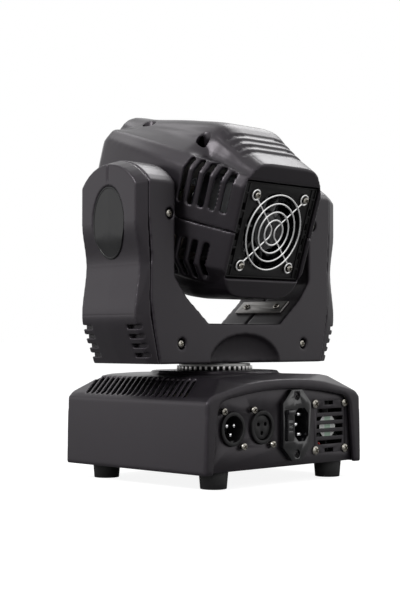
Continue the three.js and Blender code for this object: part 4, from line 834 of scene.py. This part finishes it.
BEZEL_BAR_DEPTH = 0.0012
UPRIGHT_BARS = ((0.0322, 0.0009, 0.0650), (0.0362, 0.0008, 0.0674))
LEVEL_BAR_REACH = 0.0331
LEVEL_BAR_SIZE = (0.0734, 0.0009)
NOTCH_REACH = 0.0342
NOTCH_PITCH = 0.0128
NOTCH_SIZE = (0.0044, 0.0012)
WELL_PROFILE = ((0, 0.043), (0.0047, 0.043), (0.0047, 0.08), (0, 0.08))
WELL_SPOTS = ((0.040, 0.012), (-0.040, 0.012), (0.034, -0.052), (-0.034, -0.052))
CALM_FLOOR = 0.030
CALM_FRONT = -0.072
CALM_REAR = 0.019
YOKE_SCREW_FACE = 0.0290
YOKE_SCREWS = (("low", 0.0627, 0.0854), ("high", 0.0741, 0.1734))
YOKE_SCREW_HEIGHT = 0.0016
YOKE_SCREW_SHANK = 0.0055
STRAP_SCREW = (-0.0504, 0.015, 0.1131)
STRAP_SCREW_HEIGHT = 0.0013
STRAP_SCREW_SHANK = 0.002
STRAP_SLOPE = (0.636, 0, 0.772)
BADGE_SEAT = 0.1018
BADGE_HALVES = (0.0247, 0.0157)
BADGE_PROFILE = ((0, 0), (1.0, 0), (1.0, 0.0007), (0.985, 0.0010), (0.955, 0.0010), (0.94, 0.0007),
                 (0.8, 0.0007), (0.6, 0.0007), (0.4, 0.0007), (0.2, 0.0007), (0, 0.0007))
COVER_SLOT_START = 0.006
COVER_SLOT_PITCH = 0.0063
COVER_SLOT_SHIFT = 0.0022
COVER_SLOT_SIZE = (0.0144, 0.0190, 0.0026)
PANEL_MIDDLE = 0.0660
REARWARDS = (0, 1, 0)


class SPOT_OT_finishes(bpy.types.Operator):
    """Makes the finishes and gives them to the solids"""
    bl_idname = "spot.finishes"
    bl_label = "Finishes"

    def execute(self, context):
        make_materials(context.scene.spot_finish)
        for node, obj in frame["nodes"].items():
            if not obj.material_slots:
                raise RuntimeError(node + " has no material slot")
            for place in obj.material_slots:
                place.material = materials[slot_name(node)]
        return {"FINISHED"}


class SPOT_OT_head_shells(bpy.types.Operator):
    """Head shells with smooth curves and soft edges"""
    bl_idname = "spot.head_shells"
    bl_label = "Head shells"

    def execute(self, context):
        values = context.scene.spot_edges
        curves = HeadCurves()

        def calm(co):
            x, y, z = curves.to_head @ co
            return z > CALM_FLOOR and CALM_FRONT < y < CALM_REAR

        wells = []
        for x, y in WELL_SPOTS:
            well = turned_shape(WELL_PROFILE, 40)
            wells.append(placed(well, curves.to_world @ Matrix.Translation((x, y, 0))))
        moulded_piece("head_upper_shell", values.head_voxel, values, curves, calm, wells)
        moulded_piece("head_lower_shell", values.head_voxel, values, curves)
        return {"FINISHED"}


class SPOT_OT_yoke_shells(bpy.types.Operator):
    """Front and rear shells of the yoke"""
    bl_idname = "spot.yoke_shells"
    bl_label = "Yoke shells"

    def execute(self, context):
        values = context.scene.spot_edges
        for node in ("yoke_front_shell", "yoke_rear_shell"):
            moulded_piece(node, values.yoke_voxel, values)
        return {"FINISHED"}


class SPOT_OT_arm_covers(bpy.types.Operator):
    """Outer covers of the yoke arms"""
    bl_idname = "spot.arm_covers"
    bl_label = "Arm covers"

    def execute(self, context):
        values = context.scene.spot_edges
        curves = CoverCurves(values.cover_ridge)
        for node, side in (("left_arm_cover", 1), ("right_arm_cover", -1)):
            slots = bmesh.new()
            for number in range(4):
                z = COVER_BOTTOM + COVER_SLOT_START + number * COVER_SLOT_PITCH
                face = curves.face(z)[1]
                for end in (-1, 1):
                    add_box(slots, (side * (face + COVER_SLOT_SHIFT), end * FACE_HALF, z), COVER_SLOT_SIZE)
            moulded_piece(node, values.cover_voxel, values, curves, cutters=(slots,))
        return {"FINISHED"}


class SPOT_OT_badges(bpy.types.Operator):
    """Plain oval badges with a raised rim, without any print"""
    bl_idname = "spot.badges"
    bl_label = "Badges"

    def execute(self, context):
        curves = CoverCurves(context.scene.spot_edges.cover_ridge)
        for node, side in (("left_badge", 1), ("right_badge", -1)):
            shape = turned_shape(BADGE_PROFILE, 72)
            outwards = Matrix.Translation((side * BADGE_SEAT, 0, BADGE_HEIGHT)) @ Matrix.Rotation(
                side * math.pi / 2, 4, "Y")
            placed(shape, outwards @ Matrix.Diagonal((*BADGE_HALVES, 1, 1)))
            bmesh.ops.recalc_face_normals(shape, faces=shape.faces)
            split_large_faces(shape)
            for vert in shape.verts:
                lift = min(curves.face(vert.co.z)[1] - BADGE_SEAT, 0.0)
                vert.co.x += side * (lift - curves.ridge * abs(vert.co.y) / FACE_HALF)
            stand_for(node, shape, material="badge")
        return {"FINISHED"}


class SPOT_OT_base_shell(bpy.types.Operator):
    """Cover of the base with its shoulder slots"""
    bl_idname = "spot.base_shell"
    bl_label = "Base shell"

    def execute(self, context):
        values = context.scene.spot_edges
        moulded_piece("base_cover", values.base_voxel, values)
        return {"FINISHED"}


class SPOT_OT_panel_parts(bpy.types.Operator):
    """Rear panel, sockets, inlet, fan and menu of the base"""
    bl_idname = "spot.panel_parts"
    bl_label = "Panel parts"

    def execute(self, context):
        values = context.scene.spot_edges
        x, z = FAN_CENTRE
        width, height = FAN_OPENING
        opening, grille, slots, pockets = [bmesh.new() for _ in range(4)]
        add_box(opening, (x, PANEL_MIDDLE, z), (width, 0.01, height))
        panel = cut_mesh(copy_solid("rear_panel"), opening)
        add_box(grille, (x, PANEL_MIDDLE, z), (width, 0.002, height))
        for row, slot_width in enumerate(SLOT_WIDTHS, -3):
            shift = 0.001 if abs(row) == 3 else 0.0
            add_box(slots, (x + shift, PANEL_MIDDLE, z + row * SLOT_PITCH), (slot_width, 0.01, SLOT_HEIGHT))
        add_shape(panel, cut_mesh(grille, slots))
        round_edges(panel, values.small_edge * 0.6, values.edge_segments, math.radians(60))
        split_large_faces(panel)
        stand_for("rear_panel", panel, material="plain_charcoal")
        low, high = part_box("fuse_drawer")
        middle_x, middle_z = (low[0] + high[0]) / 2, (low[2] + high[2]) / 2
        for shift, wide, tall in POCKETS:
            add_box(pockets, (middle_x, high[1], middle_z + shift), (wide, POCKET_CUT, tall))
        stand_rounded("fuse_drawer", cut_mesh(copy_solid("fuse_drawer"), pockets), values)
        for node in ("male_socket", "female_socket", "mains_inlet", "base_fan_frame",
                     "base_fan_rotor", "display_window", "bottom_plate", "menu_button_1", "menu_button_2",
                     "menu_button_3", "menu_button_4", "foot_1", "foot_2", "foot_3", "foot_4"):
            rounded_piece(node, values)
        return {"FINISHED"}


class SPOT_OT_yoke_parts(bpy.types.Operator):
    """Ring under the yoke and the strap plate"""
    bl_idname = "spot.yoke_parts"
    bl_label = "Yoke parts"

    def execute(self, context):
        values = context.scene.spot_edges
        rounded_piece("pan_ring", values, "bright_ring")
        rounded_piece("strap_plate", values)
        return {"FINISHED"}


class SPOT_OT_fan_end(bpy.types.Operator):
    """Fan, its square panel and the front rim of the head"""
    bl_idname = "spot.fan_end"
    bl_label = "Fan end"

    def execute(self, context):
        values = context.scene.spot_edges
        rounded_piece("head_fan_frame", values, "gloss_black")
        rounded_piece("head_fan_rotor", values, "rotor_black")
        rounded_piece("front_rim", values)
        bezel = placed(copy_solid("fan_bezel"), head_matrix().inverted())
        middle = Matrix.Translation((0, 0, BEZEL_CENTRE))
        placed(bezel, middle @ Matrix.Diagonal((0.976, 1, 0.978, 1)) @ middle.inverted())
        bars = []
        for side in (-1, 1):
            bars += [(side * x, 0, width, height) for x, width, height in UPRIGHT_BARS]
            bars.append((0, side * LEVEL_BAR_REACH, *LEVEL_BAR_SIZE))
            bars += [(side * NOTCH_REACH, row * NOTCH_PITCH, *NOTCH_SIZE) for row in range(-2, 3)]
        for x, up, width, height in bars:
            add_box(bezel, (x, BEZEL_BAR_MIDDLE, BEZEL_CENTRE + up), (width, BEZEL_BAR_DEPTH, height))
        stand_rounded("fan_bezel", placed(bezel, head_matrix()), values)
        return {"FINISHED"}


class SPOT_OT_guard(bpy.types.Operator):
    """Wire guard of the head fan: rings, two bent wires and four loops"""
    bl_idname = "spot.guard"
    bl_label = "Finger guard"

    def execute(self, context):
        values = context.scene.spot_fasteners
        wire = values.wire_radius
        guard = bmesh.new()
        to_rear = Matrix.Rotation(-math.pi / 2, 4, "X")
        for share in RING_SHARES:
            ring = ring_shape(share * GUARD_REACH, wire, values.round_steps, 12)
            add_shape(guard, placed(ring, Matrix.Translation((0, RING_FACE, GUARD_CENTRE)) @ to_rear))
        for side in (-1, 1):
            for up in (-1, 1):
                loop = ring_shape(LOOP_RADIUS, wire, 28, 10)
                add_shape(guard, placed(loop, Matrix.Translation(
                    (side * GUARD_REACH, WIRE_FACE, GUARD_CENTRE + up * GUARD_REACH)) @ to_rear))
            bend = [(0.91, 0.87), (0.24, 0.26), (0.1, 0.12), (0.07, 0), (0.1, -0.12), (0.24, -0.26),
                    (0.91, -0.87)]
            points = [(side * x * GUARD_REACH, WIRE_FACE, GUARD_CENTRE + z * GUARD_REACH) for x, z in bend]
            add_shape(guard, wire_mesh(points, wire))
        stand_for("finger_guard", placed(guard, head_matrix()), math.radians(60), "guard_wire")
        return {"FINISHED"}


class SPOT_OT_solid_screws(bpy.types.Operator):
    """Screws of the round sockets and of the fan guard"""
    bl_idname = "spot.solid_screws"
    bl_label = "Panel and guard screws"

    def execute(self, context):
        values = context.scene.spot_fasteners
        steps = values.round_steps // 2
        height = values.head_height
        spots = [(x + side * SOCKET_SCREW[0], PANEL_SCREW_FACE, z + side * SOCKET_SCREW[1])
                 for x, z in (MALE_SOCKET, FEMALE_SOCKET) for side in (-1, 1)]
        for number, spot in enumerate(spots, 1):
            screw = screw_mesh(spot, REARWARDS, values.panel_screw_radius, height, steps, SCREW_SHANK)
            stand_for("panel_screw_%d" % number, screw, material="screw_steel")
        direction = head_matrix().to_3x3() @ Vector(REARWARDS)
        for number, (side, up) in enumerate(((1, 1), (-1, 1), (-1, -1), (1, -1)), 1):
            spot = head_matrix() @ Vector((side * GUARD_REACH, GUARD_SCREW_FACE, GUARD_CENTRE + up * GUARD_REACH))
            screw = screw_mesh(spot, direction, values.guard_screw_radius, height, steps, SCREW_SHANK)
            stand_for("guard_screw_%d" % number, screw, material="screw_steel")
        return {"FINISHED"}


def added_screw(name, body, place, direction, radius, height, steps, shank, turn=0.6, material="screw_steel"):
    """A screw that the solids leave out."""
    screw = screw_mesh(place, direction, radius, height, steps, shank, turn)
    finish_piece(name, screw, body, "bright_steel", material=material)


class SPOT_OT_added_screws(bpy.types.Operator):
    """Screws that the solids leave out: yoke, strap, base fan and inlet"""
    bl_idname = "spot.added_screws"
    bl_label = "Other screws"

    def execute(self, context):
        values = context.scene.spot_fasteners
        steps = values.round_steps // 2
        radius = values.yoke_screw_radius
        fan_radius = values.head_radius
        for side, hand, level, facet in ((-1, "right", "bottom", "front"), (1, "left", "top", "rear")):
            for end, x, z in YOKE_SCREWS:
                for name, face in (("front", -1), ("rear", 1)):
                    spot = (side * x, face * YOKE_SCREW_FACE, z)
                    added_screw("yoke_screw_%s_%s_%s" % (name, hand, end), "yoke", spot, (0, face, 0), radius,
                                YOKE_SCREW_HEIGHT, steps, YOKE_SCREW_SHANK, 0.4 + side * 0.5 + face)
            spot = (STRAP_SCREW[0], side * STRAP_SCREW[1], STRAP_SCREW[2])
            added_screw("strap_screw_" + facet, "yoke", spot, STRAP_SLOPE, radius, STRAP_SCREW_HEIGHT, steps,
                        STRAP_SCREW_SHANK)
            spot = (INLET_CENTRE[0], INLET_SCREW_FACE, INLET_CENTRE[1] + side * INLET_SCREW_REACH)
            added_screw("inlet_screw_" + level, "base", spot, REARWARDS, INLET_SCREW_RADIUS,
                        INLET_SCREW_HEIGHT, steps, SHORT_SHANK, material="dark_screw")
            for up, end in ((-1, "bottom"), (1, "top")):
                spot = (FAN_CENTRE[0] + side * FAN_SCREW_REACH, FAN_SCREW_FACE,
                        FAN_CENTRE[1] + up * FAN_SCREW_REACH)
                added_screw("base_fan_screw_%s_%s" % (hand, end), "base", spot, REARWARDS, fan_radius,
                            values.head_height, steps, SHORT_SHANK)
        return {"FINISHED"}


class SPOT_OT_contacts(bpy.types.Operator):
    """Bright ends of the socket's pins and of the inlet's blades"""
    bl_idname = "spot.contacts"
    bl_label = "Contacts"

    def execute(self, context):
        steps = context.scene.spot_fasteners.round_steps // 3
        pins, blades = bmesh.new(), bmesh.new()
        for turn in map(math.radians, PIN_ANGLES):
            place = (MALE_SOCKET[0] + PIN_REACH * math.cos(turn), PIN_START,
                     MALE_SOCKET[1] + PIN_REACH * math.sin(turn))
            pin = turned_shape([(0, 0), (PIN_RADIUS, 0), (PIN_RADIUS, PIN_LENGTH * 0.8),
                                (PIN_RADIUS * 0.8, PIN_LENGTH * 0.95), (0, PIN_LENGTH)], steps)
            add_shape(pins, placed(pin, facing(place, REARWARDS)))
        finish_piece("socket_pins", pins, "base", "bright_steel")
        for shift, step in ((-1, -1), (0, 1), (1, -1)):
            blade = bmesh.new()
            add_box(blade, (BLADE_CENTRE[0] + step * BLADE_STEP, BLADE_CENTRE[1],
                            INLET_CENTRE[1] + shift * BLADE_SPACING), BLADE_SIZE)
            round_edges(blade, 0.0004, 2, math.radians(30))
            add_shape(blades, blade)
        finish_piece("inlet_blades", blades, "base", "bright_steel")
        return {"FINISHED"}


class SPOT_OT_fan_label(bpy.types.Operator):
    """Plain label on the hub of the base fan and the fan's lead"""
    bl_idname = "spot.fan_label"
    bl_label = "Fan label and lead"

    def execute(self, context):
        label = bmesh.new()
        bmesh.ops.create_circle(label, cap_ends=True, radius=LABEL_RADIUS, segments=8,
                                matrix=Matrix.Rotation(math.radians(22.5), 4, "Z"))
        bmesh.ops.solidify(label, geom=label.faces[:], thickness=LABEL_THICKNESS)
        bmesh.ops.recalc_face_normals(label, faces=label.faces)
        placed(label, facing((FAN_CENTRE[0], LABEL_FACE, FAN_CENTRE[1]), REARWARDS))
        finish_piece("hub_label", label, "base_fan_rotor_body", "pale_plastic", material="hub_label")
        finish_piece("fan_lead", wire_mesh(LEAD_POINTS, LEAD_RADIUS), "base", "dark_plastic", material="fan_lead")
        return {"FINISHED"}


# Studio

MIDDLE = (0.0, 0.0, 0.12)


def view_direction(values):
    yaw = values.camera_yaw
    pitch = values.camera_pitch
    return Vector((-math.sin(yaw) * math.cos(pitch), -math.cos(yaw) * math.cos(pitch), math.sin(pitch)))


def add_lamp(name, place, aim, size, power):
    data = bpy.data.lights.new(name, "AREA")
    data.shape = "RECTANGLE"
    data.size, data.size_y = size
    data.energy = power
    lamp = new_object(name, data)
    lamp.location = place
    lamp.rotation_euler = (Vector(aim) - Vector(place)).to_track_quat("-Z", "Y").to_euler()


def seen_directly(tree, kinds=("Is Camera Ray", "Is Transmission Ray")):
    """1 for the given kinds of ray and 0 for light that spreads."""
    path = tree.nodes.new("ShaderNodeLightPath")
    value = path.outputs[kinds[0]]
    for kind in kinds[1:]:
        either = add_node(tree, "Math", {0: value, 1: path.outputs[kind]}, operation="MAXIMUM")
        value = either.outputs["Value"]
    return value


def floor_material(values):
    """Matt pale floor that the camera sees as white where no shadow lies."""
    material, tree, shader = new_material("studio_floor")
    color = tuple(values.floor_color)
    glow = add_node(tree, "Math", {0: seen_directly(tree), 1: values.floor_glow}, operation="MULTIPLY")
    fill_inputs(tree, shader, {
        "Base Color": add_ramp(tree, add_noise(tree, 3.0), scaled(color, 0.995), color), "Roughness": 0.9,
        "Specular IOR Level": 0.1, "Emission Color": (1, 1, 1, 1), "Emission Strength": glow.outputs["Value"]})
    return material


def studio_world(values):
    """Soft room light that shows as white behind the object."""
    world = bpy.data.worlds.new("studio_world")
    bpy.context.scene.world = world
    world.use_nodes = True
    tree = world.node_tree
    room = tree.nodes["Background"]
    fill_inputs(tree, room, {"Color": (1, 1, 1, 1), "Strength": values.world_strength})
    backdrop = add_node(tree, "Background", {"Color": (1, 1, 1, 1), "Strength": 1.0})
    seen = seen_directly(tree, ("Is Camera Ray", "Is Transmission Ray", "Is Glossy Ray"))
    mix = add_node(tree, "MixShader", {"Fac": seen, 1: room.outputs["Background"],
                                       2: backdrop.outputs["Background"]})
    tree.links.new(mix.outputs["Shader"], tree.nodes["World Output"].inputs["Surface"])


class SPOT_OT_studio(bpy.types.Operator):
    """Camera, lamps, room light and floor"""
    bl_idname = "spot.studio"
    bl_label = "Studio"

    def execute(self, context):
        values = context.scene.spot_studio
        data = bpy.data.cameras.new("photo_camera")
        data.sensor_width = 36.0
        data.lens = values.lens
        camera = new_object("photo_camera", data)
        camera.location = values.camera_place
        camera.rotation_euler = view_direction(values).to_track_quat("-Z", "Y").to_euler()
        context.scene.camera = camera
        context.scene.view_settings.view_transform = "Standard"
        studio_world(values)
        for name, place, aim, size, power in (
            ("key_lamp", (0.07, -0.70, 1.20), MIDDLE, (0.5, 0.5), values.key_power),
            ("crown_lamp", (1.12, 0.10, 0.90), MIDDLE, (0.4, 0.4), values.crown_power),
            ("back_lamp", (-0.85, -0.30, 1.15), MIDDLE, (0.6, 0.6), values.back_power),
            ("side_lamp", (1.1, -1.0, 0.25), MIDDLE, (0.6, 0.6), values.fill_power),
            ("rear_lamp", (0.3, 1.3, 0.9), MIDDLE, (0.6, 0.6), values.fill_power),
            ("low_lamp", (-0.85, 0.85, 0.12), (0.0, 0.03, 0.08), (0.5, 0.2), values.low_power),
        ):
            add_lamp(name, place, aim, size, power)
        bm = bmesh.new()
        bmesh.ops.create_grid(bm, x_segments=2, y_segments=2, size=values.floor_size)
        bmesh.ops.translate(bm, verts=bm.verts, vec=(0, 0, solid_bounds[0][2]))
        mesh = mesh_of(bm, "studio_floor")
        mesh.materials.append(floor_material(values))
        floor = new_object("studio_floor", mesh)
        return {"FINISHED"}


class SPOT_PT_panel(bpy.types.Panel):
    """Lists the steps in the 3D view's sidebar"""
    bl_idname = "SPOT_PT_panel"
    bl_label = "Spot light"
    bl_space_type = "VIEW_3D"
    bl_region_type = "UI"
    bl_category = "Spot light"

    def draw(self, context):
        for operator in STEPS:
            self.layout.operator(operator.bl_idname, text=operator.bl_label)
        for group, _ in GROUPS:
            values = getattr(context.scene, group)
            for key in values.__annotations__:
                self.layout.prop(values, key)


GROUPS = (("spot_finish", FinishValues), ("spot_edges", EdgeValues), ("spot_fasteners", FastenerValues),
          ("spot_studio", StudioValues))
STEPS = (SPOT_OT_finishes, SPOT_OT_studio, SPOT_OT_head_shells, SPOT_OT_yoke_shells, SPOT_OT_arm_covers,
         SPOT_OT_badges, SPOT_OT_base_shell, SPOT_OT_panel_parts, SPOT_OT_yoke_parts, SPOT_OT_fan_end,
         SPOT_OT_guard, SPOT_OT_solid_screws, SPOT_OT_added_screws, SPOT_OT_contacts,
         SPOT_OT_fan_label)


def register():
    for name, group in GROUPS:
        bpy.utils.register_class(group)
        setattr(bpy.types.Scene, name, PointerProperty(type=group))
    for operator in STEPS:
        bpy.utils.register_class(operator)
    bpy.utils.register_class(SPOT_PT_panel)


def unregister():
    bpy.utils.unregister_class(SPOT_PT_panel)
    for operator in reversed(STEPS):
        bpy.utils.unregister_class(operator)
    for name, group in reversed(GROUPS):
        delattr(bpy.types.Scene, name)
        bpy.utils.unregister_class(group)


def main():
    register()
    bpy.ops.spot.finishes()
    bpy.ops.spot.studio()
    bpy.ops.spot.head_shells()
    bpy.ops.spot.yoke_shells()
    bpy.ops.spot.arm_covers()
    bpy.ops.spot.badges()
    bpy.ops.spot.base_shell()
    bpy.ops.spot.panel_parts()
    bpy.ops.spot.yoke_parts()
    bpy.ops.spot.fan_end()
    bpy.ops.spot.guard()
    bpy.ops.spot.solid_screws()
    bpy.ops.spot.added_screws()
    bpy.ops.spot.contacts()
    bpy.ops.spot.fan_label()


if __name__ == "__main__":
    main()
